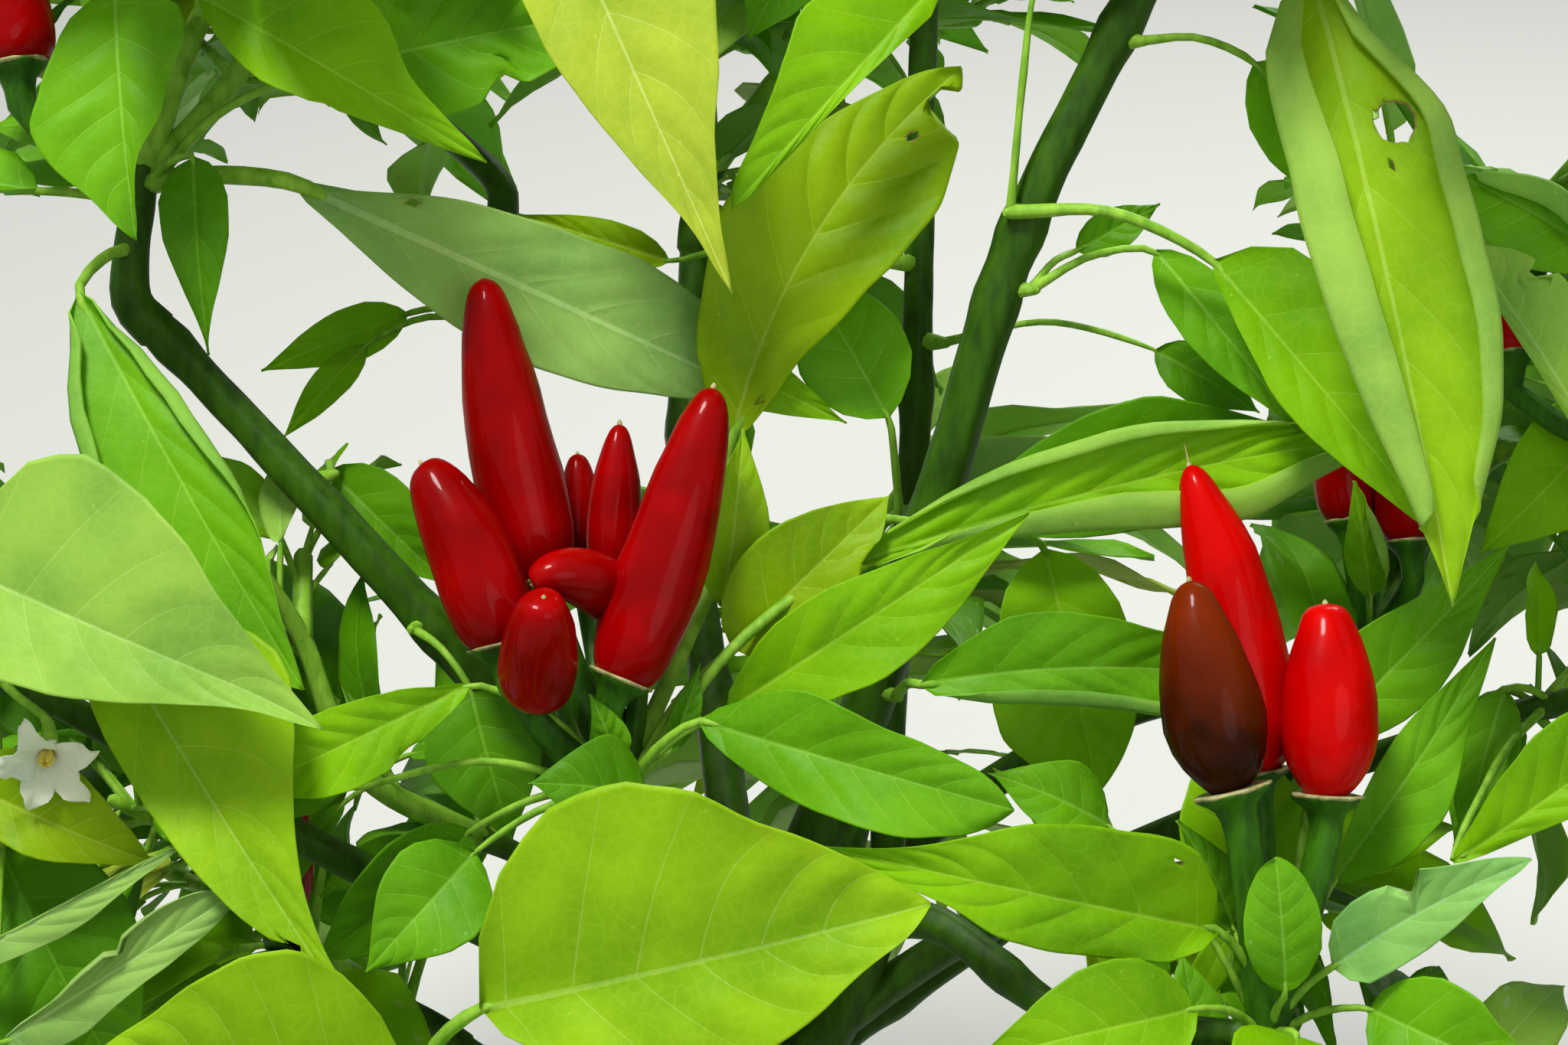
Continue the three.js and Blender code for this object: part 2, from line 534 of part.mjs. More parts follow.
// Top, above the middle and right boughs
const middleTop = addMass("mass_middle_top", "bough_middle", [seen([25, 140, -38])],
  [vec(-5, 70, 480), vec(110, 105, 95)], 16);
const middleHang = seen([2, 138, -12]);
addTwig(middleTop, middleTop.root, middleHang, [1.9, 1.5]);
showLeaf(middleTop, middleHang, [-30, 112, 6], [-10, 44, 12], 42, 0, 6);
showLeaf(middleTop, middleHang, [30, 104, -2], [-10, 60, 6], 28, 0, 4);
showLeaf(middleTop, middleHang, [5, 114, -16], [-7, 92, -16], 16, 0, 2);
const rightTop = addMass("mass_right_top", "bough_right", [seen([92, 140, -8])],
  [vec(125, 50, 460), vec(105, 105, 105)], 17);
showLeaf(rightTop, rightTop.root, [96, 105, 8], [128, -16, 24], 42, -15, 8);

// Right, past the cluster
const outerRight = addMass("mass_outer_right", "bough_outer_right", [seen([150, -34, -30])],
  [vec(180, 5, 270), vec(90, 100, 105)], 18);
const outerRightHigh = seen([170, 10, -26]);
addTwig(outerRight, outerRight.root, outerRightHigh, [1.9, 1.5]);
showLeaf(outerRight, outerRight.root, [140, -62, -22], [134, -30, -20], 16, 20);
showLeaf(outerRight, outerRight.root, [136, -66, 2], [164, -33, 4], 26, 0);
showLeaf(outerRight, outerRightHigh, [158, 50, -18], [130, 66, -16], 18, 20);
showLeaf(outerRight, outerRightHigh, [156, 14, -10], [130, 54, -10], 20, 0);
showLeaf(outerRight, outerRightHigh, [160, 22, -34], [133, -6, -34], 24, 0, 4);
showFruit("fruit_outer_right", outerRight, outerRightHigh, [139, 32, -28], [138, 52, -30], 14);

// Back right, with its own cluster
const backRightNode = seen([112, -22, -66]);
const backRight = addMass("mass_back_right", "bough_back_right", [backRightNode, vec(148, 68, 272)],
  [vec(140, 105, 300), vec(105, 95, 110)], 19);
showLeaf(backRight, backRightNode, [112, -14, -54], [109, 8, -48], 9, 0, 2);
showFruit("fruit_back_right_1", backRight, backRightNode, [108, 0, -62], [105, 24, -64], 13);
showFruit("fruit_back_right_2", backRight, backRightNode, [115, -1, -74], [113, 20, -76], 12);
showFruit("fruit_back_right_3", backRight, backRightNode, [120, -4, -58], [118, 22, -60], 14);

// Back and low masses
addMass("mass_back", "bough_back", [vec(-8, 108, 330)],
  [vec(10, 130, 365), vec(100, 95, 115)], 20);
addMass("mass_back_left", "bough_back_left", [vec(-74, 116, 342)],
  [vec(-110, 120, 325), vec(105, 95, 120)], 21);
addMass("mass_low_back", "bough_low_back", [vec(28, 92, 192)],
  [vec(20, 115, 210), vec(120, 90, 100)], 22);
addMass("mass_low_left", "bough_low_left", [vec(-80, 26, 172)],
  [vec(-115, 40, 190), vec(105, 100, 95)], 23);
addMass("mass_low_right", "bough_low_right", [vec(78, -40, 172)],
  [vec(115, -45, 170), vec(110, 90, 80)], 24);
addMass("mass_inner_left", "bough_inner_left", [vec(-58, 14, 216)],
  [vec(-62, 25, 225), vec(95, 75, 85)], 25);
addMass("mass_inner_right", "bough_inner_right", [vec(70, 16, 200)],
  [vec(75, 30, 215), vec(95, 75, 90)], 26);

// Sprays on the boughs
const sprayLeft = addSpray("spray_left", "bough_left", 266, [-3, -6, 1]);
showLeaf(sprayLeft, sprayLeft.root, [-60, -32, -14], [-52, -61, -12], 24, 0, 3);
const sprayRightLow = addSpray("spray_right_low", "bough_right", 282, [4, -7, 1]);
showLeaf(sprayRightLow, sprayRightLow.root, [50, -5, -34], [60, -52, -37], 32, 0, 4);
const sprayRightMid = addSpray("spray_right_mid", "bough_right", 330, [7, -3, 1]);
showLeaf(sprayRightMid, sprayRightMid.root, [75, 51, -18], [100, 20, -14], 18, 30, 3);
showLeaf(sprayRightMid, sprayRightMid.root, [56, 52, -24], [72, 61, -26], 9, 0, 1);
const sprayRight = addSpray("spray_right", "bough_right", 344, [-5, -6, 1]);
showLeaf(sprayRight, sprayRight.root, [72, 57, -8], [124, -11, 6], 34, -10, 5);
showLeaf(sprayRight, sprayRight.root, [48, 102, -8], [64, 128, -2], 20, 0, 3);
const sprayRightHigh = addSpray("spray_right_high", "bough_right", 376, [6, -4, 1]);
showLeaf(sprayRightHigh, sprayRightHigh.root, [90, 88, -4], [112, 58, -10], 20, 0, 3);
const sprayMiddleHigh = addSpray("spray_middle_high", "bough_middle", 312, [6, -4, 1]);
showLeaf(sprayMiddleHigh, sprayMiddleHigh.root, [64, 36, -34], [92, 20, -34], 16, 20, 3);
const sprayMiddle = addSpray("spray_middle", "bough_middle", 280, [-3, -7, 1]);
showLeaf(sprayMiddle, sprayMiddle.root, [20, 20, -28], [3, 50, -34], 23, 0, 3);
const sprayMiddleMid = addSpray("spray_middle_mid", "bough_middle", 327, [-6, -4, 1]);
showLeaf(sprayMiddleMid, sprayMiddleMid.root, [-22, 50, -40], [-51, 59, -36], 9, 0, 2);
const sprayLeftHigh = addSpray("spray_left_high", "bough_left", 292, [6, 4, 1]);
showLeaf(sprayLeftHigh, sprayLeftHigh.root, [-87, 10, -46], [-64, -12, -46], 18, 0, 3);
const sprayBackLeft = addSpray("spray_back_left", "bough_back_left", 300, [-6, -5, 1]);
showLeaf(sprayBackLeft, sprayBackLeft.root, [-72, 40, -84], [-100, 29, -80], 12, 0, 2);
showLeaf(sprayBackLeft, sprayBackLeft.root, [-80, 34, -80], [-96, 16, -80], 8, 0, 2);
const sprayRightFoot = addSpray("spray_right_foot", "bough_right", 248, [5, -7, 1]);
showLeaf(sprayRightFoot, sprayRightFoot.root, [26, -31, -20], [84, -32, -25], 30, -30, 4);

// Twigs fork in two, each pair a quarter turn on from the last, with leaves at their forks and a
// whorl at their ends. Each twig and leaf draws from a seed of its own, so that one that is
// skipped changes no other. One that leaves its space, crowds another or shuts a window is
// skipped, after a leaf has tried a few other turns.
function draws(...seeds) {
  let state = seeds.reduce((sum, seed, i) => sum + seed * [7919, 104729, 1299709, 15485863][i], 1);
  const draw = () => {
    state = (state * 1664525 + 1013904223) % 4294967296;
    return state / 4294967296;
  };
  draw();
  draw();
  return ([low, high]) => low + (high - low) * draw();
}

function inSpace(point, [middle, half], share) {
  return point.clone().sub(middle).divide(half).length() < share && point.z > LOWEST_LEAF;
}

function hidesShowSide(point) {
  const { across, up, near } = asSeen(point);
  if (Math.abs(across) > SHOW_HALF.across || Math.abs(up) > SHOW_HALF.up) return false;
  return near > SHOW_BACK || WINDOWS.some(([left, right, low, high]) =>
    across > left && across < right && up > low && up < high);
}

function fits(mass, points, share, gap, root) {
  return points.every((p) => inSpace(p, mass.space, share) && !hidesShowSide(p))
    && !crowded(points, gap, mass.name, root);
}

function growLeaf(mass, root, heading, side, turn, ends, draw) {
  const tilt = radians(draw(ends ? [25, 80] : [60, 95]));
  const around = side.clone().applyAxisAngle(heading, turn);
  const way = heading.clone().multiplyScalar(Math.cos(tilt)).addScaledVector(around, Math.sin(tilt));
  const length = draw(LEAF_LENGTH);
  const width = length * LEAF_WIDTH * draw([0.88, 1.1]);
  const base = root.clone().addScaledVector(way, draw(PETIOLE_LENGTH));
  const axis = way.clone().add(vec(0, 0, -draw([0.2, 0.6]))).normalize();
  const tip = base.clone().addScaledVector(axis, length);
  const face = vec(0, 0, 1).addScaledVector(vec(root.x, root.y - CROWN_MIDDLE, 0).normalize(), 0.6);
  const leaf = leafShape(root, base, tip, width, face, 0.06 * length, 0);
  const points = [...leafSamples(leaf), ...between(root, base, SAMPLE_STEP).slice(1)];
  if (!fits(mass, points, 1, LEAF_GAP, root)) return false;
  const body = leafSolid(leaf, false);
  if (!isClear(mass.name, body)) return false;
  mass.pieces.push(place(mass.name, body));
  occupy(points, 0, mass.name);
  return true;
}

// A fruit of the twigs stands on the first fork of its mass, fused to its stalk.
function growFruit(mass, node, heading, draw) {
  const out = heading.clone().setZ(0).normalize().applyAxisAngle(vec(0, 0, 1), draw([-1.2, 1.2]));
  const foot = node.clone().addScaledVector(out, 9).add(vec(0, 0, draw([9, 13])));
  const tip = foot.clone().addScaledVector(out, draw([2, 12])).add(vec(0, 0, draw(FRUIT_LENGTH)));
  const curve = fruitCurve(foot, tip, vec(0, 0, 0));
  const width = draw(FRUIT_WIDTH);
  const stalk = stalkSolid(node, fruitCurve(foot.clone().lerp(tip, 0.06), tip, vec(0, 0, 0)), width);
  const body = fruitSolid(curve, width);
  const points = Array.from({ length: 7 }, (_, i) => curve.getPointAt(i / 6));
  if (!fits(mass, points, 1, width / 2 + LEAF_GAP, node) || !isClear(mass.name, body)) return;
  mass.pieces.push(place(mass.name, body), place(mass.name, stalk));
  occupy(points, width / 2, mass.name);
}

// A twig starts slim inside the one that it forks from.
function twigSolid(line, level) {
  return solid(run(line, line.map((_, i) => TWIG_RADIUS[level] * (i === 0 ? 0.5 : 1 - 0.14 * i)), 3));
}

// One arm of each fork carries the twig on, the other starts a twig of its own.
function grow(mass, from, heading, level, path, twig) {
  const side = heading.clone().cross(vec(0.3, 0.2, 1)).normalize().applyAxisAngle(heading, path * 1.9);
  const ends = level >= TWIG_LENGTH.length;
  if (level === 2) growFruit(mass, from, heading, draws(mass.seed, path, FRUIT_DRAW));
  for (let i = 0; i < (ends ? END_LEAVES : NODE_LEAVES); i++) {
    const root = from.clone().addScaledVector(heading, -LEAF_SPACING * (i + (ends ? 0.4 : 1.2)));
    for (let attempt = 0; attempt < LEAF_TRIES; attempt++) {
      const turn = path + SPIRAL * i + attempt * 0.8;
      if (growLeaf(mass, root, heading, side, turn, ends, draws(mass.seed, path, i, attempt))) break;
    }
  }
  if (ends) return;
  [-1, 1].forEach((hand) => {
    const next = path * 2 + (hand > 0 ? 1 : 0);
    for (let attempt = 0; attempt < TWIG_TRIES; attempt++) {
      const draw = draws(mass.seed, next, TWIG_TRIES, attempt);
      const fork = side.clone().applyAxisAngle(heading, attempt * 0.8);
      const way = heading.clone().applyAxisAngle(fork, hand * radians(draw(FORK_ANGLE)))
        .add(vec(0, 0, 0.1)).normalize();
      const to = from.clone().addScaledVector(way, TWIG_LENGTH[level] * draw([0.85, 1.15]));
      const points = between(from, to, SAMPLE_STEP).slice(2);
      const arm = solid(run([from, to], [TWIG_RADIUS[level], TWIG_RADIUS[level]], 3));
      if (!fits(mass, points, TWIG_SPACE, TWIG_GAP, from) || !isClear(mass.name, arm)) continue;
      place(mass.name, arm);
      occupy(points, TWIG_RADIUS[level], mass.name);
      const line = hand < 0 ? twig : [from];
      line.push(to);
      grow(mass, to, way, level + 1, next, line);
      if (hand > 0) mass.pieces.push(twigSolid(line, level));
      return;
    }
  });
}

masses.filter((mass) => mass.space).forEach((mass) => {
  const twig = [mass.root.clone().addScaledVector(mass.heading, -3)];
  grow(mass, mass.root, mass.heading, 1, 1, twig);
  if (twig.length > 1) mass.pieces.push(twigSolid(twig, 1));
});

// Nodes of the group
const plant = new THREE.Group();

function addMesh(name, body, colour) {
  const mesh = body.getMesh();
  const geometry = new THREE.BufferGeometry();
  geometry.setAttribute("position", new THREE.BufferAttribute(new Float32Array(mesh.vertProperties), 3));
  geometry.setIndex(new THREE.BufferAttribute(new Uint32Array(mesh.triVerts), 1));
  geometry.computeVertexNormals();
  const material = new THREE.MeshStandardMaterial({ color: colour, roughness: 0.5, metalness: 0 });
  const node = new THREE.Mesh(geometry, material);
  node.name = name;
  plant.add(node);
}

nodes.forEach(({ name, body, colour }) => addMesh(name, body, colour));
masses.forEach((mass) => addMesh(mass.name, fuse(mass.pieces), LEAF_GREEN));
[...fruits, flower].forEach(({ name, body, colour }) => addMesh(name, body, colour));

export default plant;
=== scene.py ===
import json
import math
import bpy
from mathutils import Matrix, Quaternion, Vector, noise

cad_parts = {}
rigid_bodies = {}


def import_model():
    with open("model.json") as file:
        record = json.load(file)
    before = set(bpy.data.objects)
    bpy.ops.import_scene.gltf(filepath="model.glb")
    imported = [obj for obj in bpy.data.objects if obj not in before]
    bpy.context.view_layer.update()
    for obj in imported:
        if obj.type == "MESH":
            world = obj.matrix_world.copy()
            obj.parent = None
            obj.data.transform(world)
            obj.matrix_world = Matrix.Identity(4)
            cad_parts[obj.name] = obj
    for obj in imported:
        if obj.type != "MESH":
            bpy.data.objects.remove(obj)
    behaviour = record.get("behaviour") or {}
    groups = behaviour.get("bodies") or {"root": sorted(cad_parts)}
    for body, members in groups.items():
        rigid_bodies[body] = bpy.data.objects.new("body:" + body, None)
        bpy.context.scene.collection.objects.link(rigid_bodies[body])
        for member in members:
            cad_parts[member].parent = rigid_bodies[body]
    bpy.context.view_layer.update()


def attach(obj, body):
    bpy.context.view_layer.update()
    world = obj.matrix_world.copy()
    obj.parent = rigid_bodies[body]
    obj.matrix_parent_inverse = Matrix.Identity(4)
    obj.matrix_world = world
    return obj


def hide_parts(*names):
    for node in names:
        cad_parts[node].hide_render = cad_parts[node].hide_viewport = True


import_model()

# Trunk
# The woody foot of a chilli plant, up to its fork, with a flared foot cut flat at ground level.
# Its bark is thin and cracks lengthwise, grey brown below and green above.
# Sizes are in millimetres here and below, and the meshes are made in metres from them.
FORK_HEIGHT = 190
TRUNK_RADIUS = 6.8
FLARE = 5.2
FLARE_HEIGHT = 15
FLARE_LOBES = 3
LOBE_SHARE = 0.16
TRUNK_LEAN = 5
TRUNK_TAPER = 0.1
TRUNK_TOP = 4
SKIN_SHARE = 0.98
# Ridges and fissures of the bark, each as depth, bumps round the trunk and bumps for a millimetre up.
BARK_RELIEF = [(0.55, 2.2, 0.02), (0.28, 7, 0.07)]
CRACK_SPACING = 2.2
PATCH_SIZE = 18
GREEN_HEIGHTS = (20, 150)


# A hex value is turned to linear light by the curve of the sRGB standard.
def hex_colour(text):
    parts = [int(text[i:i + 2], 16) / 255 for i in (1, 3, 5)]
    return tuple(p / 12.92 if p <= 0.04045 else ((p + 0.055) / 1.055) ** 2.4 for p in parts) + (1.0,)


def add(tree, kind, links=None, **settings):
    made = tree.nodes.new(kind)
    for key, value in settings.items():
        setattr(made, key, value)
    for key, value in (links or {}).items():
        if isinstance(value, bpy.types.NodeSocket):
            tree.links.new(value, made.inputs[key])
        else:
            made.inputs[key].default_value = value
    return made


def new_material(name):
    material = bpy.data.materials.new(name)
    material.use_nodes = True
    material.node_tree.nodes.clear()
    return material, material.node_tree


# The dark tone of a finish turns to its light one between two levels of a pattern.
def two_tone(tree, pattern, dark, light, dark_at=0.36, light_at=0.62):
    share = add(tree, "ShaderNodeMapRange",
                {"Value": pattern, "From Min": dark_at, "From Max": light_at}).outputs[0]
    return add(tree, "ShaderNodeMix", {0: share, 6: hex_colour(dark), 7: hex_colour(light)},
               data_type="RGBA").outputs[2]


def place_mesh(name, points, faces, materials, parts=None):
    mesh = bpy.data.meshes.new(name)
    mesh.from_pydata([Vector(p) / 1000 for p in points], [], faces)
    for material in materials:
        mesh.materials.append(material)
    if parts:
        mesh.polygons.foreach_set("material_index", parts)
    mesh.polygons.foreach_set("use_smooth", [True] * len(faces))
    mesh.update()
    piece = bpy.data.objects.new(name, mesh)
    bpy.context.scene.collection.objects.link(piece)
    return piece


def hand_over(piece, slot, *nodes):
    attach(piece, "root")
    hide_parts(*nodes)


# Living bark: matt, with fine lengthwise cracks about 2 mm apart. It is cork brown at the foot,
# where it is oldest, and green where light still reaches the skin.
bark, tree = new_material("thin_cracked_bark")
where = add(tree, "ShaderNodeTexCoord").outputs["Object"]
streaks = add(tree, "ShaderNodeMapping", {"Vector": where, "Scale": (1, 1, 0.12)}).outputs[0]
crack = add(tree, "ShaderNodeTexNoise",
            {"Vector": streaks, "Scale": 1000 / CRACK_SPACING, "Detail": 5, "Roughness": 0.62}).outputs[0]
patch = add(tree, "ShaderNodeTexNoise",
            {"Vector": where, "Scale": 1000 / PATCH_SIZE, "Detail": 3}).outputs[0]
height = add(tree, "ShaderNodeSeparateXYZ", {0: where}).outputs["Z"]
climb = add(tree, "ShaderNodeMapRange", {"Value": height, "From Min": GREEN_HEIGHTS[0] / 1000,
                                         "From Max": GREEN_HEIGHTS[1] / 1000}).outputs[0]
living = add(tree, "ShaderNodeMath", {0: climb, 1: patch}, operation="MULTIPLY").outputs[0]
green = add(tree, "ShaderNodeMapRange", {"Value": living, "From Min": 0.1, "From Max": 0.45}).outputs[0]
cork = two_tone(tree, crack, "#40362A", "#94836A")
skin = two_tone(tree, crack, "#2E3F16", "#5F7A2C")
colour = add(tree, "ShaderNodeMix", {0: green, 6: cork, 7: skin}, data_type="RGBA").outputs[2]
relief = add(tree, "ShaderNodeBump", {"Height": crack, "Strength": 0.7, "Distance": 0.0006}).outputs[0]
shader = add(tree, "ShaderNodeBsdfPrincipled", {"Base Color": colour, "Roughness": 0.78, "Normal": relief})
add(tree, "ShaderNodeOutputMaterial", {"Surface": shader.outputs[0]})


def trunk_axis(z):
    return Vector((TRUNK_LEAN * math.sin(math.pi * z / FORK_HEIGHT), 0, z))


def trunk_radius(z, angle):
    flare = math.exp(-z / FLARE_HEIGHT)
    lobes = LOBE_SHARE * flare * math.cos(FLARE_LOBES * angle + 1)
    radius = TRUNK_RADIUS * (1 - TRUNK_TAPER * z / FORK_HEIGHT) + FLARE * flare
    radius *= SKIN_SHARE + lobes
    for depth, bumps, climb in BARK_RELIEF:
        spot = Vector((bumps * math.cos(angle), bumps * math.sin(angle), climb * z))
        radius += depth * noise.noise(spot)
    return radius


TRUNK_SIDES = 72
LEVEL_STEP = 2.5
levels = [LEVEL_STEP * i for i in range(int(FORK_HEIGHT / LEVEL_STEP) + 1)]
turns = [2 * math.pi * j / TRUNK_SIDES for j in range(TRUNK_SIDES)]
points = [trunk_axis(z) + trunk_radius(z, turn) * Vector((math.cos(turn), math.sin(turn), 0))
          for z in levels for turn in turns]
top = len(points) - TRUNK_SIDES
points.append(trunk_axis(FORK_HEIGHT) + Vector((0, 0, TRUNK_TOP)))
faces = []
for i in range(len(levels) - 1):
    for j in range(TRUNK_SIDES):
        low, after = i * TRUNK_SIDES, (j + 1) % TRUNK_SIDES
        faces.append((low + j, low + after, low + TRUNK_SIDES + after, low + TRUNK_SIDES + j))
faces += [(top + j, top + (j + 1) % TRUNK_SIDES, len(points) - 1) for j in range(TRUNK_SIDES)]
faces.append(tuple(reversed(range(TRUNK_SIDES))))
hand_over(place_mesh("trunk_bark", points, faces, [bark]), "bark", "trunk")

# Boughs
# The plant forks above its trunk into green, sappy limbs with five soft ridges. They swell at
# the joints where leaves and side shoots leave them.
SHOW_TILT = math.radians(22)
SHOW_DISTANCE = 700
SHOW_CENTRE = Vector((7.5, -11.4, 295))
LOOK = Vector((0, math.cos(SHOW_TILT), -math.sin(SHOW_TILT)))
LIFT = Vector((0, math.sin(SHOW_TILT), math.cos(SHOW_TILT)))


# A point of the show side is told in a plane that leans back, as across, up and near.
def seen(across, up, near):
    spread = (SHOW_DISTANCE - near) / SHOW_DISTANCE
    return SHOW_CENTRE - near * LOOK + across * spread * Vector((1, 0, 0)) + up * spread * LIFT


class Path:
    """A smooth curve through points; a place on it is told by its share of the length."""

    MARKS = 200
    STEP = 1e-3

    def __init__(self, points):
        self.points = [Vector(p) for p in points]
        marks = [self.spot(i / self.MARKS) for i in range(self.MARKS + 1)]
        self.reach = [0.0]
        for before, after in zip(marks, marks[1:]):
            self.reach.append(self.reach[-1] + (after - before).length)
        self.length = self.reach[-1]

    def spot(self, t):
        p, last = self.points, len(self.points) - 1
        i = min(int(last * t), last - 1)
        s = last * t - i
        a, b, c, d = (p[i - 1] if i else 2 * p[0] - p[1], p[i], p[i + 1],
                      p[i + 2] if i + 2 <= last else 2 * p[last] - p[last - 1])
        first, middle, after = ((to - start).length ** 0.5 for start, to in ((a, b), (b, c), (c, d)))
        middle = middle or 1.0
        first, after = first or middle, after or middle
        leave = ((b - a) / first - (c - a) / (first + middle) + (c - b) / middle) * middle
        arrive = ((c - b) / middle - (d - b) / (middle + after) + (d - c) / after) * middle
        square, cube = 3 * (c - b) - 2 * leave - arrive, 2 * (b - c) + leave + arrive
        return b + leave * s + square * s ** 2 + cube * s ** 3

    def share(self, u):
        target = u * self.length
        low = sum(1 for reach in self.reach[1:] if reach <= target)
        if low >= self.MARKS:
            return 1.0
        return (low + (target - self.reach[low]) / (self.reach[low + 1] - self.reach[low])) / self.MARKS

    def at(self, u):
        return self.spot(self.share(u))

    def way(self, u):
        t = self.share(u)
        ahead, behind = min(1, t + self.STEP), max(0, t - self.STEP)
        return (self.spot(ahead) - self.spot(behind)).normalized()


# One tree lays a ridged, slightly lumpy tube along each path of an object, as wide as the path's
# own radius. Stems, stalks and fruit are all made by it.
tube = bpy.data.node_groups.new("tube_along_paths", "GeometryNodeTree")
for name, kind in [("Geometry", "Geometry"), ("Sides", "Int"), ("Ridges", "Int"), ("Ridge Depth", "Float"),
                   ("Lump Size", "Float"), ("Lump Depth", "Float"), ("Material", "Material")]:
    tube.interface.new_socket(name, in_out="INPUT", socket_type="NodeSocket" + kind)
tube.interface.new_socket("Geometry", in_out="OUTPUT", socket_type="NodeSocketGeometry")
given = add(tube, "NodeGroupInput").outputs
circle = add(tube, "GeometryNodeCurvePrimitiveCircle",
             {"Resolution": given["Sides"], "Radius": 1.0}).outputs[0]
place = add(tube, "GeometryNodeInputPosition").outputs[0]
apart = add(tube, "ShaderNodeSeparateXYZ", {0: place}).outputs
angle = add(tube, "ShaderNodeMath", {0: apart["Y"], 1: apart["X"]}, operation="ARCTAN2").outputs[0]
turned = add(tube, "ShaderNodeMath", {0: angle, 1: given["Ridges"]}, operation="MULTIPLY").outputs[0]
ridge = add(tube, "ShaderNodeMath", {0: turned}, operation="COSINE").outputs[0]
depth = add(tube, "ShaderNodeMath", {0: ridge, 1: given["Ridge Depth"]}, operation="MULTIPLY").outputs[0]
push = add(tube, "ShaderNodeVectorMath", {0: place, "Scale": depth}, operation="SCALE").outputs[0]
profile = add(tube, "GeometryNodeSetPosition", {"Geometry": circle, "Offset": push}).outputs[0]
width = add(tube, "GeometryNodeInputRadius").outputs[0]
swept = add(tube, "GeometryNodeCurveToMesh", {"Curve": given["Geometry"], "Profile Curve": profile,
                                              "Scale": width, "Fill Caps": True}).outputs[0]
grain = add(tube, "ShaderNodeMath", {0: 1.0, 1: given["Lump Size"]}, operation="DIVIDE").outputs[0]
lumps = add(tube, "ShaderNodeTexNoise", {"Vector": place, "Scale": grain, "Detail": 1.0}).outputs[0]
centred = add(tube, "ShaderNodeMath", {0: lumps, 1: 0.5}, operation="SUBTRACT").outputs[0]
amount = add(tube, "ShaderNodeMath", {0: centred, 1: given["Lump Depth"]}, operation="MULTIPLY").outputs[0]
outward = add(tube, "GeometryNodeInputNormal").outputs[0]
swell = add(tube, "ShaderNodeVectorMath", {0: outward, "Scale": amount}, operation="SCALE").outputs[0]
lumpy = add(tube, "GeometryNodeSetPosition", {"Geometry": swept, "Offset": swell}).outputs[0]
smooth = add(tube, "GeometryNodeSetShadeSmooth", {"Geometry": lumpy}).outputs[0]
single = add(tube, "GeometryNodeRealizeInstances", {"Geometry": smooth}).outputs[0]
finished = add(tube, "GeometryNodeSetMaterial",
               {"Geometry": single, "Material": given["Material"]}).outputs[0]
add(tube, "NodeGroupOutput", {0: finished})


def run_tree(name, source, group, **inputs):
    bpy.context.scene.collection.objects.link(source)
    modifier = source.modifiers.new("make", "NODES")
    modifier.node_group = group
    for item in group.interface.items_tree:
        value = inputs.get(item.name.lower().replace(" ", "_"))
        if value is not None:
            modifier[item.identifier] = value
    state = bpy.context.evaluated_depsgraph_get()
    mesh = bpy.data.meshes.new_from_object(source.evaluated_get(state), depsgraph=state)
    bpy.data.objects.remove(source)
    mesh.name = name
    piece = bpy.data.objects.new(name, mesh)
    bpy.context.scene.collection.objects.link(piece)
    return piece


def tubes(name, paths, material, sides=16, ridges=5, ridge_depth=0.05, lump_size=10, lump_depth=0.5):
    """Each path is a list of places, each with the radius there."""
    curve = bpy.data.curves.new(name, "CURVE")
    curve.dimensions = "3D"
    for path in paths:
        spline = curve.splines.new("POLY")
        spline.points.add(len(path) - 1)
        for mark, (point, radius) in zip(spline.points, path):
            mark.co = (*(point / 1000), 1)
            mark.radius = radius / 1000
    return run_tree(name, bpy.data.objects.new(name + "_paths", curve), tube, sides=sides, ridges=ridges,
                    ridge_depth=ridge_depth, lump_size=lump_size / 1000, lump_depth=lump_depth / 1000,
                    material=material)


FLECK_SPACING = 3


# Green stem skin: satin, with darker flecks drawn out along the stem about 3 mm apart.
def stem_skin(name, dark, light):
    material, tree = new_material(name)
    where = add(tree, "ShaderNodeTexCoord").outputs["Object"]
    drawn = add(tree, "ShaderNodeMapping", {"Vector": where, "Scale": (1, 1, 0.2)}).outputs[0]
    fleck = add(tree, "ShaderNodeTexNoise",
                {"Vector": drawn, "Scale": 1000 / FLECK_SPACING, "Detail": 4, "Roughness": 0.6}).outputs[0]
    relief = add(tree, "ShaderNodeBump", {"Height": fleck, "Strength": 0.35, "Distance": 0.0004}).outputs[0]
    shader = add(tree, "ShaderNodeBsdfPrincipled", {
        "Base Color": two_tone(tree, fleck, dark, light, 0.3, 0.66), "Roughness": 0.5,
        "Specular IOR Level": 0.16, "Subsurface Weight": 0.12, "Subsurface Scale": 0.002,
        "Subsurface Radius": (0.5, 1.0, 0.2), "Normal": relief})
    add(tree, "ShaderNodeOutputMaterial", {"Surface": shader.outputs[0]})
    return material


bough_skin = stem_skin("dark_green_stem_skin", "#1F3E00", "#345A04")
